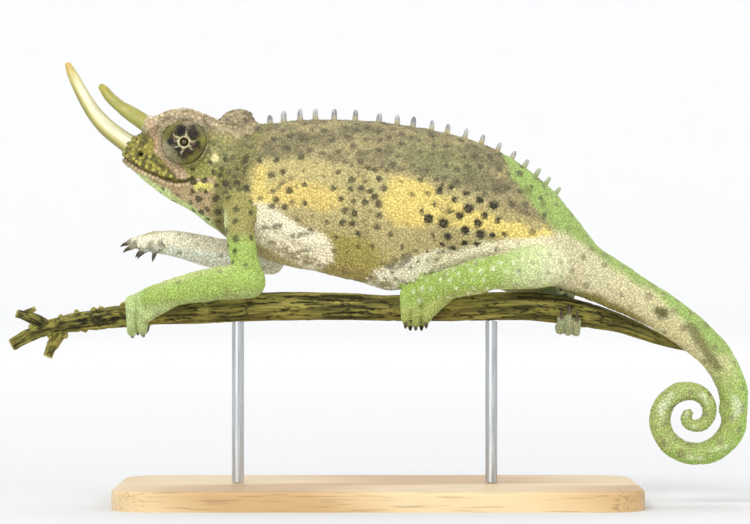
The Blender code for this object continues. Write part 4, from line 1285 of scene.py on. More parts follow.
def growPiece(name, under, tree, zone, field, seed, granule, plate, finish):
    grains, plates, size, height, tilt = field
    piece = newObject(name, under.data.copy())
    useTree(piece, tree, {"Zone": zone, "Granule Spacing": grains * mm,
                          "Plate Spacing": plates * mm, "Plate Size": size * mm,
                          "Height": height, "Tilt": radians(tilt), "Seed": seed,
                          "Granule": granule, "Plate": plate, "Finish": finish})
    placeLeaves(piece.data)
    sizes = readAll(piece.data.polygons, "loop_total", 1, int)
    print(name, "scales:", (sizes - 2).sum(), "triangles")
    return piece


leafSize = {"coat": 0.003, "row": 0.012}     # the share of the map that each scale takes up


def placeLeaves(mesh):
    # each scale is a small patch of the map, at its root's place
    corners = readAll(mesh.loops, "vertex_index", 1, int)
    root = readAll(mesh.attributes["root"].data, "vector", 3)[:, :2]
    leaf = readAll(mesh.uv_layers["leaf"].data, "uv", 2)
    low, span = root.min(axis=0), np.ptp(root, axis=0).max()
    places = ((root - low) / span * 0.98 + 0.01)[corners] + leaf * leafSize["coat"]
    dropAttributes(mesh, "OFBake", "root", "lie", "zone", "leaf")
    unwrap(mesh, places)


def plantOn(name, tree, shape, finish, spots, ups, lies, sizes, colours):
    # a row of one shape, each in its own place, size and colour
    row = meshObject(name, spots, [])
    for key, values in (("up", ups), ("lie", lies), ("size", np.asarray(sizes, float) * mm)):
        store(row.data, key, "FLOAT_VECTOR", values)
    paintPoints(row.data, np.asarray(colours, float))
    store(row.data, "tint", "FLOAT", [1.0] * len(spots))
    useTree(row, tree, {"Shape": shape, "Finish": finish})
    order = np.repeat(np.column_stack([np.arange(len(spots)) / len(spots),
                                        np.full(len(spots), 0.5)]),
                       len(shape.data.vertices), axis=0)
    corners = readAll(row.data.loops, "vertex_index", 1, int)
    leaf = readAll(row.data.uv_layers["leaf"].data, "uv", 2)
    dropAttributes(row.data, "up", "lie", "size", "leaf")
    unwrap(row.data, order[corners] * 0.97 + 0.01 + leaf * leafSize["row"])
    bpy.data.objects.remove(shape)
    return row


# Horns, eyes and claws

noseHorn = [(-73.4, 0, 106.8, 3), (-77.2, 0, 109.4, 2.8), (-81.6, 0, 112.9, 2.6),
            (-85.4, 0, 117.3, 2.3), (-88.7, 0, 122.7, 1.95), (-91.5, 0, 128.2, 1.6),
            (-92.9, 0, 131.3, 1)]
browHorn = [(-67.4, -3.5, 112, 2.2), (-70.2, -4.5, 114.2, 2.45), (-74.4, -5.1, 117, 2.2),
            (-77, -5.3, 118.8, 1.8), (-80.2, -5.5, 121.6, 1.5), (-82.3, -5.6, 124.4, 1.1)]
horn = {"ringStep": 1.7, "ringDepth": 0.07, "sides": 40, "steps": 26}


def grainPlaces(rings, centres, reach):
    # along and round a tapering length, for grain that follows it
    out = rings - centres[:, None]
    across = unit(out[:, :1])
    ways = directions(centres)[:, None]
    other = np.cross(ways, across)
    place = np.stack([np.broadcast_to(reach[:, None], out.shape[:2]), (out * across).sum(axis=2),
                      (out * other).sum(axis=2)], axis=2)
    return np.vstack([place.reshape(-1, 3), [[reach[0], 0, 0], [reach[-1], 0, 0]]])


def makeHorn(name, points, finish):
    rings = tubeRings(points, horn["sides"], horn["steps"], 0)
    centres = rings.mean(axis=1)
    reach = distanceAlong(centres)
    share = reach / reach[-1]
    turns = circle(horn["sides"])
    wobble = 0.25 * np.sin(turns + share[:, None] * 4)
    phase = (reach[:, None] + wobble) / (horn["ringStep"] * (1.1 - 0.4 * share[:, None])) % 1.0
    fade = (1 - step(0.5, 0.85, share))[:, None] * (0.6 + 0.4 * np.sin(reach * 1.9))[:, None]
    depth = horn["ringDepth"] * fade * (np.sin(2 * pi * phase) * 0.5 + phase - 1)
    out = unit(rings - centres[:, None])
    front = np.cross(directions(centres), [0, 1.0, 0])
    facing = 0.5 + 0.5 * (out * unit(front)[:, None]).sum(axis=2)
    item = meshObject(name, *loft(rings + out * depth[..., None]), finish)
    store(item.data, "grain", "FLOAT_VECTOR", grainPlaces(rings, centres, reach))
    # painted shade: the last of these darkens each horn in the grooves between its rings
    for key, values, poles in (("reach", np.repeat(share, horn["sides"]), [0, 1]),
                               ("facing", facing, [0.5, 0.5]),
                               ("ring_groove_shade", np.clip(1 + depth / 0.1, 0, 1), [1, 1])):
        store(item.data, key, "FLOAT", np.append(values.ravel(), poles))
    return item


def grainTexture(tree, scale, stretch, **settings):
    mapped = addNode(tree, "ShaderNodeMapping", Vector=attribute(tree, "grain", "Vector"),
                     Scale=stretch).outputs[0]
    return addNode(tree, "ShaderNodeTexNoise", Vector=mapped, Scale=scale,
                   **settings).outputs["Fac"]


# the first ramp of each horn is partly its own ivory and olive, and partly painted highlight along
# the pale middle and painted shade at the front and hind edges
hornColours = {       # from the hind edge to the front, from foot to tip, streaks' depth, roughness
    "nose horn": ([(0, "A9A05A"), (0.1, "D8D1A4"), (0.3, "E9E5CA"), (0.56, "E2DCB2"),
                   (0.74, "B4AB62"), (0.92, "7E7A35")],
                  [(0, "B8AF6E"), (0.7, "C9C284"), (0.9, "B9AC5C"), (1, "C79B50")], 0.9, 0.36),
    "brow horn": ([(0, "8C8A3C"), (0.25, "A3A052"), (0.5, "A9A65C"), (0.75, "9C9A4A"),
                   (1, "858233")], [(0, "8F8B40"), (0.8, "A29E4C"), (1, "A39A3E")], 0.74, 0.38),
}


def hornMaterial(name):
    across, tips, streak, roughness = hornColours[name]
    material, tree, shader = newMaterial(name, roughness, specular=0.45)
    # partly painted: paler midway round the horn as painted highlight, darker at the front and hind
    # edges as painted shade
    sides = ramp(tree, attribute(tree, "facing"), across)
    ends = ramp(tree, attribute(tree, "reach"), tips)
    share = ramp(tree, attribute(tree, "reach"),
                 [(0, 0.75), (0.12, 0.12), (0.72, 0.05), (0.93, 0.9)])
    colour = blended(tree, share, sides, ends)
    lines = grainTexture(tree, 1, (0.1, 2.4, 2.4), Detail=4)
    # the streaks, then painted shade in the grooves between the rings
    feed(shader, shaded(tree, colour, (lines, [(0.36, streak), (0.5, 1), (0.66, 1.12)]),
                        (attribute(tree, "ring_groove_shade"), [(0.1, 0.72), (0.6, 1)])))
    bumped(tree, shader, lines, 0.12, 0.5)
    return material


eyeProfile = [(3, -4.4), (5.2, -3), (6.5, -0.6), (6.5, 1.2), (5.7, 3.2), (4.3, 4.9), (2.6, 5.9),
              (1.5, 6.2)]
lids = {"inset": 0.15, "hole": 1.15, "foldDepth": 0.1, "folds": 17, "rim": 0.18, "sides": 96,
        "ringStep": 0.95, "ringDepth": 0.09}
eyeball = {"radius": 1, "back": 4.7, "front": 5.2, "dome": 0.75, "sides": 32, "iris": 0.72}
eyeRays = [(0.16, 4.3), (1.27, 3.9), (2.39, 4.7), (2.95, 3.3), (3.68, 3.9), (4.68, 4.2),
           (5.72, 3.8)]             # angle and length of each pale ray
eyePatches = [        # place from the centre (x, z), size, colour, strength
    (-4.6, 3.2, 2.4, "7A7434", 0.9), (-4.8, -2, 2.6, "A9A27E", 0.95),
    (-2.4, -4.8, 2.2, "958E66", 0.95), (3, -4.2, 2.2, "8C8540", 0.95),
    (5.2, 0.6, 1.4, "9E9C4A", 0.95), (1.5, 5.2, 1.8, "A8977A", 0.9),
    (0.3, 0.4, 4.3, "2E2814", 0.9), (-0.6, 3.5, 1.5, "0F0D08", 1),
    (-3.5, 0.2, 1.2, "18140C", 0.95), (-3.1, 2.2, 1, "2A2514", 0.8),
    (-1.8, -1.8, 0.9, "0E0C08", 1), (1.9, -2.5, 1.2, "3A2A1E", 0.9),
    (4.3, -0.2, 0.8, "26250F", 0.9), (2.7, 2.6, 1.1, "2B2218", 0.9),
    (2.6, 4.6, 1, "1C190F", 0.85), (-0.8, -3.9, 1.1, "35301C", 0.8),
    (-2.3, 1.4, 0.8, "A07E66", 0.9), (2.8, -0.5, 0.75, "7C5C48", 0.85),
    (0.9, 2, 0.6, "8A6A54", 0.7),
]


def eyeFrame(sign):
    # how the eye on one side is turned, and its centre
    axis, centre = [np.array(eye[key]) * [1, sign, 1] for key in ("axis", "centre")]
    return np.array(Vector(axis).to_track_quat("Z", "Y").to_matrix()), centre


def makeTurret(side, sign, finish):
    # the fused lids: ringed folds that run in to a small round opening
    profile = smoothRows(eyeProfile, 9)
    profile[:, 0] -= lids["inset"] * (profile[:, 1] > -2)
    throat = [(lids["hole"] + 0.12, 6.05), (lids["hole"], 5.9), (lids["hole"] - 0.02, 5.5),
              (lids["hole"], 4.8)]
    profile = np.vstack([profile, throat])
    turns = circle(lids["sides"])
    turn, centre = eyeFrame(sign)
    radius, height = profile[:, 0:1], profile[:, 1:2]
    ripple = np.sin(2 * pi * np.hypot(radius, height - 6.4) / lids["ringStep"])
    fold = np.sin(lids["folds"] * turns + 1.5 * np.sin(turns * 3))
    close = (radius < 5.6) * (radius > 1.3) * (height > 0)
    depth = lids["ringDepth"] * ripple * (height > -2) * (radius > 1.4)
    depth = depth + lids["foldDepth"] * fold * close
    depth = depth + lids["rim"] * bump(radius - 1.55, 0.3) * (height > 5)
    out = np.gradient(profile, axis=0)
    slope = unit(np.column_stack([out[:, 1], -out[:, 0]]))
    r = radius + depth * slope[:, 0:1]
    h = height + depth * slope[:, 1:2]
    rings = np.stack([r * np.cos(turns), r * np.sin(turns), h + 0 * turns], axis=2) @ turn.T
    points, faces = loft(rings + centre)
    item = meshObject(f"eye_turret_{side}", points, faces, finish)
    shape = bmesh.new()
    shape.from_mesh(item.data)
    bmesh.ops.recalc_face_normals(shape, faces=shape.faces)
    shape.to_mesh(item.data)
    shape.free()
    local = (points - centre) @ turn
    paintPoints(item.data, paintTurret(points, local))
    unwrapDisc(item.data, local)
    places = np.column_stack([np.linalg.norm(local[:, :2], axis=1), local[:, 2]])
    out, high = np.array([places[list(face.vertices)].mean(axis=0)
                          for face in item.data.polygons]).T
    store(item.data, "zone", "INT", (out > 1.75) & (high > -1.6))
    store(item.data, "lie", "FLOAT_VECTOR", unit(np.cross([0, 0, 1.0], local) @ turn.T))
    return item


def paintTurret(points, local):
    # dark lids blotched with olive and tan, and pale rays that start from a ring at the opening
    radius = np.linalg.norm(local[:, :2], axis=1)
    world = points - np.array([eye["centre"][0], 0, eye["centre"][2]])
    angle = np.arctan2(world[:, 2], world[:, 0])
    blotch = layeredNoise(points, 1.6, 3, 71)
    wavy = world[:, [0, 2]] + 1.1 * (np.column_stack(
        [layeredNoise(points, 1.5, 2, shift) for shift in (73, 79)]) - 0.5)
    colours = np.tile(ink("4A4424"), (len(points), 1))
    lay(colours, "2A2512", 0.8 * step(0.42, 0.6, blotch) * (1 - step(4.2, 5.8, radius)))
    lay(colours, "8C8452", 0.85 * step(4.6, 6, radius))
    lay(colours, "8F8860", 0.35 * step(0.56, 0.7, layeredNoise(points, 1, 2, 77)))
    for x, z, size, code, strength in eyePatches:
        away = np.hypot(wavy[:, 0] - x, wavy[:, 1] - z)
        lay(colours, code, strength * (1 - step(size * 0.55, size * 1.35, away)))
    for i, (ray, length) in enumerate(eyeRays):
        bend = 0.12 * np.sin(radius * 1.7 + i)
        away = np.abs((angle - ray - bend + pi) % (2 * pi) - pi) * radius
        narrow = 0.34 * np.clip(1 - (radius - 1.2) / (length - 1.2), 0, 1) + 0.07
        shown = (1 - step(length - 0.9, length, radius)) * (radius > 1.2)
        lay(colours, "D0C69C", (0.9 - 0.12 * (radius - 1.5)) * shown
            * (1 - step(narrow * 0.7, narrow * 1.5, away)))
    lay(colours, "E4DCAC", 0.95 * (1 - step(1.65, 2.05, radius + 0.6 * (blotch - 0.5))))
    lay(colours, "0D0B07", 1 - step(1.22, 1.36, radius))
    return colours


def unwrapDisc(mesh, local):
    # the dome opened out flat round its tip
    tip = awayFrom(local, (0, 0, 7))
    flat = 0.5 + unit(local[:, :2]) * (tip / tip.max() * 0.48)[:, None]
    unwrap(mesh, flat[readAll(mesh.loops, "vertex_index", 1, int)])


def makeEyeball(side, sign, finish):
    # a wet dark ball behind the opening
    turn, centre = eyeFrame(sign)
    size, front = eyeball["radius"], eyeball["front"]
    profile = [(size, eyeball["back"]), (size, front)]
    profile += [(size * cos(a), front + eyeball["dome"] * sin(a))
                for a in np.radians(np.arange(12, 90, 12))]
    points, faces = loft(roundRings(profile, eyeball["sides"]) @ turn.T + centre)
    item = meshObject(f"eyeball_{side}_wet", points, faces, finish)
    radius = np.linalg.norm(((points - centre) @ turn)[:, :2], axis=1)
    colours = np.tile(ink("0A0906"), (len(points), 1))
    lay(colours, "6E5A22", bump(radius - eyeball["iris"], 0.16))
    paintPoints(item.data, colours)
    return item


def eyeballMaterial():
    material, tree, shader = newMaterial("wet eye", 0.06, specular=0.6)
    feed(shader, attribute(tree, "hide", "Color"))
    shader.inputs["Coat Weight"].default_value = 1.0
    shader.inputs["Coat Roughness"].default_value = 0.03
    return material


def clawMaterial():
    material, tree, shader = newMaterial("claws", 0.32, specular=0.5)
    colour = ramp(tree, attribute(tree, "reach"),
                  [(0, "7A6C48"), (0.5, "4A3D28"), (1, "231C14")])
    grain = texture(tree, "Noise", 3000, Detail=3)
    feed(shader, shaded(tree, colour, (grain, [(0.3, 0.75), (0.7, 1.05)])))
    bumped(tree, shader, grain, 0.04)
    return material


def makeClaws(finish):
    shells, reach = [], []
    for root, way, droop in claws:
        way, droop = unit(np.array(way)), unit(np.array(droop))
        length, radius = toes["clawLength"], toes["clawRadius"]
        middle = root + way * length * 0.55
        end = middle + unit(way + droop) * length * 0.5
        path = [(*place, radius * share) for place, share in zip(
            (root - way * 0.8, root, middle, end), toes["clawTaper"])]
        rings = tubeRings(path, toes["clawSides"], 4, 0, domed=False)
        shells.append(loft(rings))
        reach += list(np.repeat(np.linspace(0, 1, len(rings)), toes["clawSides"])) + [0, 1]
    item = meshObject("claws", *mergeShells(shells), finish)
    store(item.data, "reach", "FLOAT", reach)
    return item


# Rows of larger scales, and the crest

crest = {             # places along the back, and the tallest and the lowest spine
    "x": [-32.5, -28.5, -23.7, -19.2, -13.1, -6.4, 0.4, 6.1, 11, 16.4, 21.2, 26.3, 31.5, 36.4,
          40.5, 44.1, 47.5, 50.7, 53.7],
    "tall": 3.8, "short": 2.6, "width": 2.05, "lean": 0.6, "sunk": 0.15,
    "slope": ([-30, 10, 30, 45, 55], [0.05, -0.12, -0.45, -0.95, -1.35]),     # of the back
    "height": {0: 0.74, 1: 0.98, 6: 0.82, 7: 0.96},   # the few that differ, as shares
}
spineLevels = [(0.5, -0.3), (0.5, 0), (0.45, 0.25), (0.41, 0.55), (0.36, 0.78), (0.25, 0.93),
               (0.12, 0.985), (0, 1)]
lipLevels = [(0.5, -0.12), (0.48, 0.05), (0.34, 0.16), (0, 0.2)]


def onFlank(points, flat, sign):
    # the outermost skin point over each (x, z), on the left (-1) or the right (1)
    found = []
    for x, z in flat:
        near = np.flatnonzero((np.hypot(points[:, 0] - x, points[:, 2] - z) < 0.9)
                              & (points[:, 1] * sign > 0))
        if len(near):
            found.append(near[np.argmax(points[near, 1] * sign)])
    return np.array(found)


def spaced(line, gap):
    line = np.array(line, float)
    reach = distanceAlong(line)
    wanted = np.linspace(0, reach[-1], max(2, round(reach[-1] / gap)) + 1)
    return np.column_stack([np.interp(wanted, reach, line[:, k]) for k in range(line.shape[1])])


def plantCrest(points, tree, finish):
    shape = domeShape("spineShape", spineLevels, 16)
    x = np.array(crest["x"])
    share = np.linspace(0, 1, len(x))
    spots, ups, colours, sizes = [], [], [], []
    for i, place in enumerate(x):
        near = np.flatnonzero(np.abs(points[:, 0] - place) < 0.6)
        best = near[np.argmax(points[near, 2])]
        up = np.array([-np.interp(place, *crest["slope"]) * crest["lean"], 0, 1])
        spots.append(points[best] * [1, 0, 1] - [0, 0, crest["sunk"]])
        ups.append(up / np.linalg.norm(up))
        tall = crest["tall"] + (crest["short"] - crest["tall"]) * share[i]
        tall *= crest["height"].get(i, 1.0)
        sizes.append((crest["width"] * (1 - 0.25 * share[i]), crest["width"] * 0.8, tall))
        colours.append(ink("8F8D7C") * (1 - share[i] ** 3) + ink("8FA06A") * share[i] ** 3)
    row = plantOn("crest_spines", tree, shape, finish, spots, ups, [(1, 0, 0)] * len(x), sizes,
                  colours)
    weatherCrest(row.data)
    return row


def weatherCrest(mesh):
    # pale grey spines, fluted and darker in streaks, yellowish at the foot and green at the rear
    points = meshPoints(mesh)
    rise = readAll(mesh.attributes["rise"].data, "value")
    flutes = noise(points * [1, 1, 0.25], 0.55, 2)
    colours = np.tile(ink("ABABAA"), (len(points), 1))
    lay(colours, "C4C4C4", step(0.45, 1, rise) * 0.8)
    lay(colours, "6F6F72", 0.85 * step(0.5, 0.66, flutes) * step(0.15, 0.5, rise))
    lay(colours, "CDBE78", 0.8 * (1 - step(0.08, 0.36, rise + 0.4 * (noise(points, 3) - 0.5))))
    lay(colours, "9FB074", 0.75 * step(40, 50, points[:, 0]))
    paintPoints(mesh, colours)
    points = points + (0.22 * (flutes - 0.5) * step(0.05, 0.3, rise))[:, None] * [1, 1, 0]
    points[:, 2] += 0.3 * (noise(points, 0.6, 5) - 0.5) * step(0.85, 1, rise)
    movePoints(mesh, points)


# Gap, size and height of each row's scales, and its line (x, z). A lip has its height over the
# mouth's line instead, and the eye its ring's radius.
rowScales = {
    "upperLip": (1.15, 1.3, 0.9, 1.05), "lowerLip": (1.2, 1.35, 0.9, -1.05),
    "brow": (1.5, 1.6, 1.1, [(-68.6, 111), (-66, 113.3), (-62, 114.8), (-57.6, 115.3),
                             (-53.4, 114.4), (-49.6, 112.6)]),
    "casque": (1.7, 1.7, 1.1, [(-50.5, 113.4), (-46.4, 112.6), (-42.4, 111), (-38.6, 108.4)]),
    "eye": (0.95, 1.05, 0.9, 7.15),
}
chinScales = [(-79, y, 102.6) for y in (-1.9, -0.65, 0.65, 1.9)]


def plantRows(points, normals, skinColours, tree, finish):
    # lip scales, the brow's and the casque's tubercles, and the ring round each eye
    lines = {name: line for name, (_, _, _, line) in rowScales.items()}
    for lip in ("upperLip", "lowerLip"):
        lines[lip] = np.array(mouthLine)[1:-1] + [0.3 * lines[lip], lines[lip]]
    lines["eye"] = [(eye["centre"][0] + lines["eye"] * cos(a), eye["centre"][2]
                     + lines["eye"] * sin(a)) for a in np.linspace(0, 2 * pi, 49)]
    spots, ups, lies, sizes, colours = [], [], [], [], []
    draw = np.random.default_rng(12)                  # sizes and tints vary a little
    for name, (gap, size, tall, _) in rowScales.items():
        for sign in (-1, 1):
            found = onFlank(points, spaced(lines[name], gap), sign)
            spots += list(points[found])
            ups += list(normals[found])
            lies += list(directions(points[found]))
            vary = draw.uniform(0.88, 1.1, len(found))
            sizes += [(gap * 1.12 * v, size * v, size * tall) for v in vary]
            colours += list(skinColours[found] * draw.uniform(0.85, 1.12, (len(found), 1)))
    for place in chinScales:
        found = np.argmin(awayFrom(points, place))
        spots.append(points[found])
        ups.append(normals[found])
        lies.append((0, 1, 0))
        sizes.append((1.35, 1.2, 1.2))
        colours.append(skinColours[found])
    shape = domeShape("lipShape", lipLevels, 8)
    return plantOn("row_scales", tree, shape, finish, spots, ups, lies, sizes, colours)


# The branch and its stand

branch = {"sides": 96, "steps": 40, "twigSides": 40, "twigSteps": 10, "ridge": 0.34,
          "crack": 0.4, "knob": 0.95, "burr": 0.64, "cut": 0.5, "cutLength": 1.2, "soot": 0.05}
twigs = [
    [(-97.6, 0, 52.9, 1.2), (-100.6, -0.4, 53.8, 1.9), (-104.4, -0.7, 55.6, 1.7),
     (-108.4, -0.8, 57, 1.25)],
    [(-107, -0.7, 56.2, 0.7), (-105.2, -0.5, 57.3, 1), (-102.6, -0.2, 58.3, 0.7)],
    [(-93.4, 0, 54, 1.2), (-95.4, 0.4, 50.8, 1.9), (-97.4, 0.9, 47.8, 1.9),
     (-98.6, 1.2, 45.6, 1.5), (-99.3, 1.4, 44, 1.4)],
]
knobs = [(-95.2, 0.2, 55.7, 0.8), (-90.2, 0.2, 57.4, 0.75), (-85.6, -0.3, 58.2, 1.1),
         (-83.4, 0.3, 58.9, 1.2), (-77.6, 0.2, 60.2, 0.8), (-76.6, 0.3, 59.6, 1.3),
         (-98.4, 0.5, 50, 0.8), (-98.8, -0.8, 48.6, 0.7), (-98.9, 2, 47, 0.7),
         (-94, 0, 49.8, 0.8), (-88, 0, 51.4, 0.7), (-104, -0.6, 53, 0.6),
         (-52, -3.4, 57, 1.6), (22, -3.6, 60, 1.7), (-20, 2.6, 56, 1.5)]


def barkLength(path, sides, steps):
    # ridged bark on one length of the branch, its ends broken off rough
    rings = tubeRings(path, sides, steps, 0, domed=False)
    bent = noise(rings.mean(axis=1), 6, 3) - 0.5
    rings = rings + (0.5 * bent * (path is not branchPath))[:, None, None] * [0, 1, 1]
    centres = rings.mean(axis=1)
    reach = distanceAlong(centres)
    out = rings - centres[:, None]
    radii = np.linalg.norm(out, axis=2)
    twist = circle(sides) + reach[:, None] * 0.012
    grain = np.stack([np.broadcast_to(reach[:, None] * 0.07, radii.shape),
                      3.4 * np.cos(twist), 3.4 * np.sin(twist)], axis=2).reshape(-1, 3)
    points = rings.reshape(-1, 3)

    def shaped(values):
        return values.reshape(radii.shape)

    ridges = shaped(layeredNoise(grain, 1, 3, 2)) - 0.62
    cracks = bump(shaped(layeredNoise(grain * [1.6, 1, 1], 0.7, 3, 9)) - 0.5, 0.03)
    depth = np.clip(radii / 3, 0.3, 1) * (branch["ridge"] * ridges * 2 - branch["crack"] * cracks)
    ragged = points + 1.2 * (layeredNoise(points, 1.2, 2, 6) - 0.5)[:, None]
    for x, y, z, size in knobs:
        away = shaped(awayFrom(ragged, (x, y, z)))
        ring = 0.3 * (size < 1.4) * bump(away - size * 1.3, 0.3)
        depth = depth + branch["knob"] * bump(away, size) - ring
    thin = (1 - step(-84, -66, centres[:, 0]))[:, None]       # the forked end is burred
    burr = shaped(layeredNoise(points * [0.8, 1, 1], 1.5, 3, 14)) - 0.55
    depth = depth + thin * branch["burr"] * burr
    length = branch["cutLength"]
    cut = 1 - np.minimum(step(0, length, reach), step(0, length, reach[-1] - reach))[:, None]
    depth = depth + cut * branch["cut"] * (shaped(noise(points, 0.7, 4)) - 0.5)
    pale = np.append((cut * np.ones_like(radii)).ravel(), [1, 1])
    old = branch["soot"] * (1 - step(-94, -72, centres[:, 0]))[:, None]
    # painted shade: darker where the bark sinks, in its grooves, cracks and the rings round the
    # knobs; the forked end is somewhat darker all over as well
    dark = np.append(np.clip(0.55 - old + depth / 0.55, 0, 1).ravel(), [0.3, 0.3])
    rings = rings + unit(out) * depth[..., None]
    return loft(rings), pale, dark, grainPlaces(rings, centres, reach)


def makeBranch(finish):
    lengths = [barkLength(branchPath, branch["sides"], branch["steps"])]
    lengths += [barkLength(path, branch["twigSides"], branch["twigSteps"]) for path in twigs]
    shells, pale, dark, grain = zip(*lengths)
    item = meshObject("branch", *mergeShells(shells), finish)
    store(item.data, "pale", "FLOAT", np.concatenate(pale))
    store(item.data, "ridge", "FLOAT", np.concatenate(dark))
    store(item.data, "grain", "FLOAT_VECTOR", np.vstack(grain))
    return item


def barkMaterial():
    material, tree, shader = newMaterial("bark", 0.78, specular=0.25)
    streaks = grainTexture(tree, 0.62, (0.07, 1, 1), Detail=6)
    colour = ramp(tree, streaks, [(0.3, "68602E"), (0.43, "8B833D"), (0.56, "968E44"),
                                  (0.74, "ABA45E")])
    soot = grainTexture(tree, 0.5, (0.1, 1.3, 1.3), Detail=8, Roughness=0.62)
    fibre = grainTexture(tree, 1.7, (0.05, 1, 1), Detail=8, Roughness=0.65)
    # painted shade in the bark's grooves and cracks, read from the ridge attribute, which also
    # darkens the forked end a little
    ridge = attribute(tree, "ridge")
    colour = shaded(tree, colour, (soot, [(0.34, 0.14), (0.395, 0.7), (0.455, 1)]),
                    (fibre, [(0.34, 0.45), (0.45, 0.95), (0.6, 1.12)]),
                    (ridge, [(0, 0.1), (0.28, 0.5), (0.53, 1)]))
    wood = ramp(tree, texture(tree, "Noise", 1500, Detail=3),
                [(0.3, "A8955E"), (0.7, "DCCB98")])
    share = ramp(tree, attribute(tree, "pale"), [(0.6, 0), (0.97, 0.85)])
    feed(shader, blended(tree, share, colour, wood))
    bumped(tree, shader, fibre, 0.6, 0.8)
    return material


def woodMaterial():
    # pale ash: long growth lines and short dark pores
    material, tree, shader = newMaterial("pale ash", 0.42, specular=0.4)
    drift = texture(tree, "Noise", 9, (0.25, 1.6, 1), Detail=2)
    lines = texture(tree, "Wave", 44, (0.05, 1, 0.8), (0, 0, radians(2)), Distortion=5,
                    Detail=2, Detail_Scale=0.6)
    pores = texture(tree, "Noise", 1700, (0.035, 1, 1), Detail=3)
    colour = ramp(tree, lines, [(0.15, "C39F6E"), (0.5, "D6B888"), (0.85, "E0C79C")])
    feed(shader, shaded(tree, colour, (drift, [(0.3, 0.93), (0.7, 1.03)]),
                        (pores, [(0.35, 0.7), (0.45, 1)])))
    bumped(tree, shader, pores, 0.06, 0.4)
    return material


def steelMaterial():
    # brushed along its length, with fine scratches
    material, tree, shader = newMaterial("brushed steel", 0.33, metallic=1)
    scratch = texture(tree, "Noise", 2600, (1, 1, 0.03), Detail=4)
    feed(shader, ramp(tree, scratch, [(0.3, "9FA2A4"), (0.7, "C9CBCC")]))
    feed(shader, ramp(tree, scratch, [(0.3, 0.26), (0.7, 0.42)]), "Roughness")
    bumped(tree, shader, scratch, 0.02, 0.4)
    return material


# The floor, the light and the camera

studio = {"floor": 3.4, "curve": 1, "rise": 2.6, "sides": 96, "world": 0.89, "glow": 0.05,
          "aim": (0, 0, 0.07), "camera": (-0.0009, -0.9375, 0.0723), "lens": 150, "sensor": 36}
lamps = {             # place, size and power of each
    "key": ((-0.7, -1.1, 1.3), 0.6, 10.6), "fill": ((1.1, -0.9, 0.7), 0.9, 4.5),
    "low": ((-0.3, -1.3, 0.12), 1, 6.5), "top": ((0.1, 0.7, 1.5), 1, 4.5),
}


def makeFloor():
    # a wide pale floor that curves up into a round wall
    sides, curve = studio["sides"], studio["curve"]
    flat, bend = studio["floor"] - curve, np.radians(np.arange(10, 91, 10))
    profile = [(0.02, 0), (0.6, 0), (flat, 0)]
    profile += [(flat + curve * sin(a), curve - curve * cos(a)) for a in bend]
    profile += [(studio["floor"], curve + studio["rise"])]
    points = roundRings(profile, sides).reshape(-1, 3)
    faces = [face[::-1] for face in ringFaces(len(profile), sides)] + [tuple(range(sides))]
    material, tree, shader = newMaterial("pale floor", 0.85, specular=0.15)
    place = addNode(tree, "ShaderNodeTexCoord").outputs["Object"]
    away = addNode(tree, "ShaderNodeVectorMath", {"operation": "LENGTH"}, _0=place).outputs["Value"]
    reach = sums(tree, "DIVIDE", away, 3)
    feed(shader, ramp(tree, reach, [(0.03, 0.7), (0.5, 0.93), (1, 0.97)]))
    feed(shader, ramp(tree, reach, [(0.15, 0), (0.6, 1)]), "Emission Color")
    shader.inputs["Emission Strength"].default_value = studio["glow"]
    return meshObject("floor", points / mm, faces, material)


def setStudio():
    scene = bpy.context.scene
    scene.view_settings.view_transform = "Standard"
    world = bpy.data.worlds.new("studio")
    world.use_nodes = True
    sky = world.node_tree.nodes["Background"].inputs
    sky["Color"].default_value = (0.97, 0.98, 1.0, 1)
    sky["Strength"].default_value = studio["world"]
    scene.world = world
    for name, (place, size, power) in lamps.items():
        lamp = bpy.data.lights.new(name, "AREA")
        lamp.shape, lamp.size, lamp.energy = "DISK", size, power
        item = newObject(name, lamp)
        item.location = place
        aim = Vector(studio["aim"]) - item.location
        item.rotation_euler = aim.to_track_quat("-Z", "Y").to_euler()
    lens = bpy.data.cameras.new("camera")
    lens.lens, lens.sensor_width = studio["lens"], studio["sensor"]
    lens.clip_start, lens.clip_end = 0.01, 20.0
    scene.camera = newObject("camera", lens)
    scene.camera.location = studio["camera"]
    scene.camera.rotation_euler = (radians(90), 0, 0)


# Everything together

def finishNodes():
    # the stand keeps its own solids, with better materials
    for start, make in (("stand_rod", steelMaterial), ("stand_base", woodMaterial)):
        material = make()
        for name in frame["nodes"]:
            if name.startswith(start):
                for slot in bpy.data.objects[name].material_slots:
                    slot.material = material


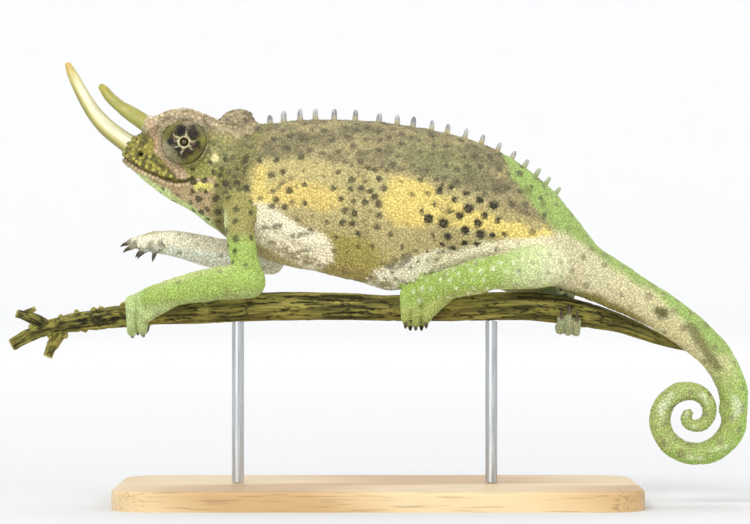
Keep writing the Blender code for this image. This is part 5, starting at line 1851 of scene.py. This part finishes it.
def build():
    skin = modelSkin()
    points, normals = sculptSkin(skin)
    place, faceParts, centres = placeOnBody(skin, points)
    colours = paintHide(points, place)
    paintPoints(skin.data, colours)
    markZones(skin, place, faceParts, centres)
    bare, scales = skinMaterial(), scaleMaterial()
    skin.data.materials.append(bare)
    coats = growCoat(skin, scales)
    dropAttributes(skin.data, "lie", "zone")
    planting = plantTree()
    print("rows and crest")
    rows = [plantCrest(points, planting, scales),
            plantRows(points, normals, colours, planting, scales)]
    print("eyes, horns and claws")
    extras = []
    wet = eyeballMaterial()
    for side, sign in (("left", -1), ("right", 1)):
        turret = makeTurret(side, sign, bare)
        granule = domeShape("lidGranule", granuleLevels, 6)
        lidScales = growPiece("coat_eye_" + side, turret, bpy.data.node_groups["scaleField"], 1,
                              lidField, 9, granule, granule, scales)
        bpy.data.objects.remove(granule)
        dropAttributes(turret.data, "lie", "zone")
        extras += [(turret, "eye_turret", ["eye_" + side]), (lidScales, "eye_turret", []),
                   (makeEyeball(side, sign, wet), "eyeball", ["eyeball_" + side])]
    ivory, olive = hornMaterial("nose horn"), hornMaterial("brow horn")
    mirrored = [(x, -y, z, r) for x, y, z, r in browHorn]
    horns = {"horn_nose": (noseHorn, ivory), "horn_brow_left": (browHorn, olive),
             "horn_brow_right": (mirrored, olive)}
    for name, (line, finish) in horns.items():
        extras.append((makeHorn(name + "_ringed", line, finish), "horn", [name]))
    extras.append((makeClaws(clawMaterial()), "horn", []))
    print("branch and stand")
    extras.append((makeBranch(barkMaterial()), "bark", ["perch_branch"]))
    finishNodes()
    flesh = [name for name in frame["nodes"]
             if not name.startswith(("horn", "eye", "perch", "stand"))]
    slots = {"coat_head": "head_skin", "coat_jaw": "head_skin", "row_scales": "head_skin",
             "coat_tail": "tail_skin", "coat_limbs": "limb_skin", "coat_feet": "limb_skin"}
    pieces = [(skin, "body_skin", flesh)]
    pieces += [(piece, slots.get(piece.name, "body_skin"), []) for piece in coats + rows]
    for piece, slot, nodes in pieces + extras:
        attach(piece, "root")
        if nodes:
            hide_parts(*nodes)


build()
print("floor, light and camera")
makeFloor()
setStudio()
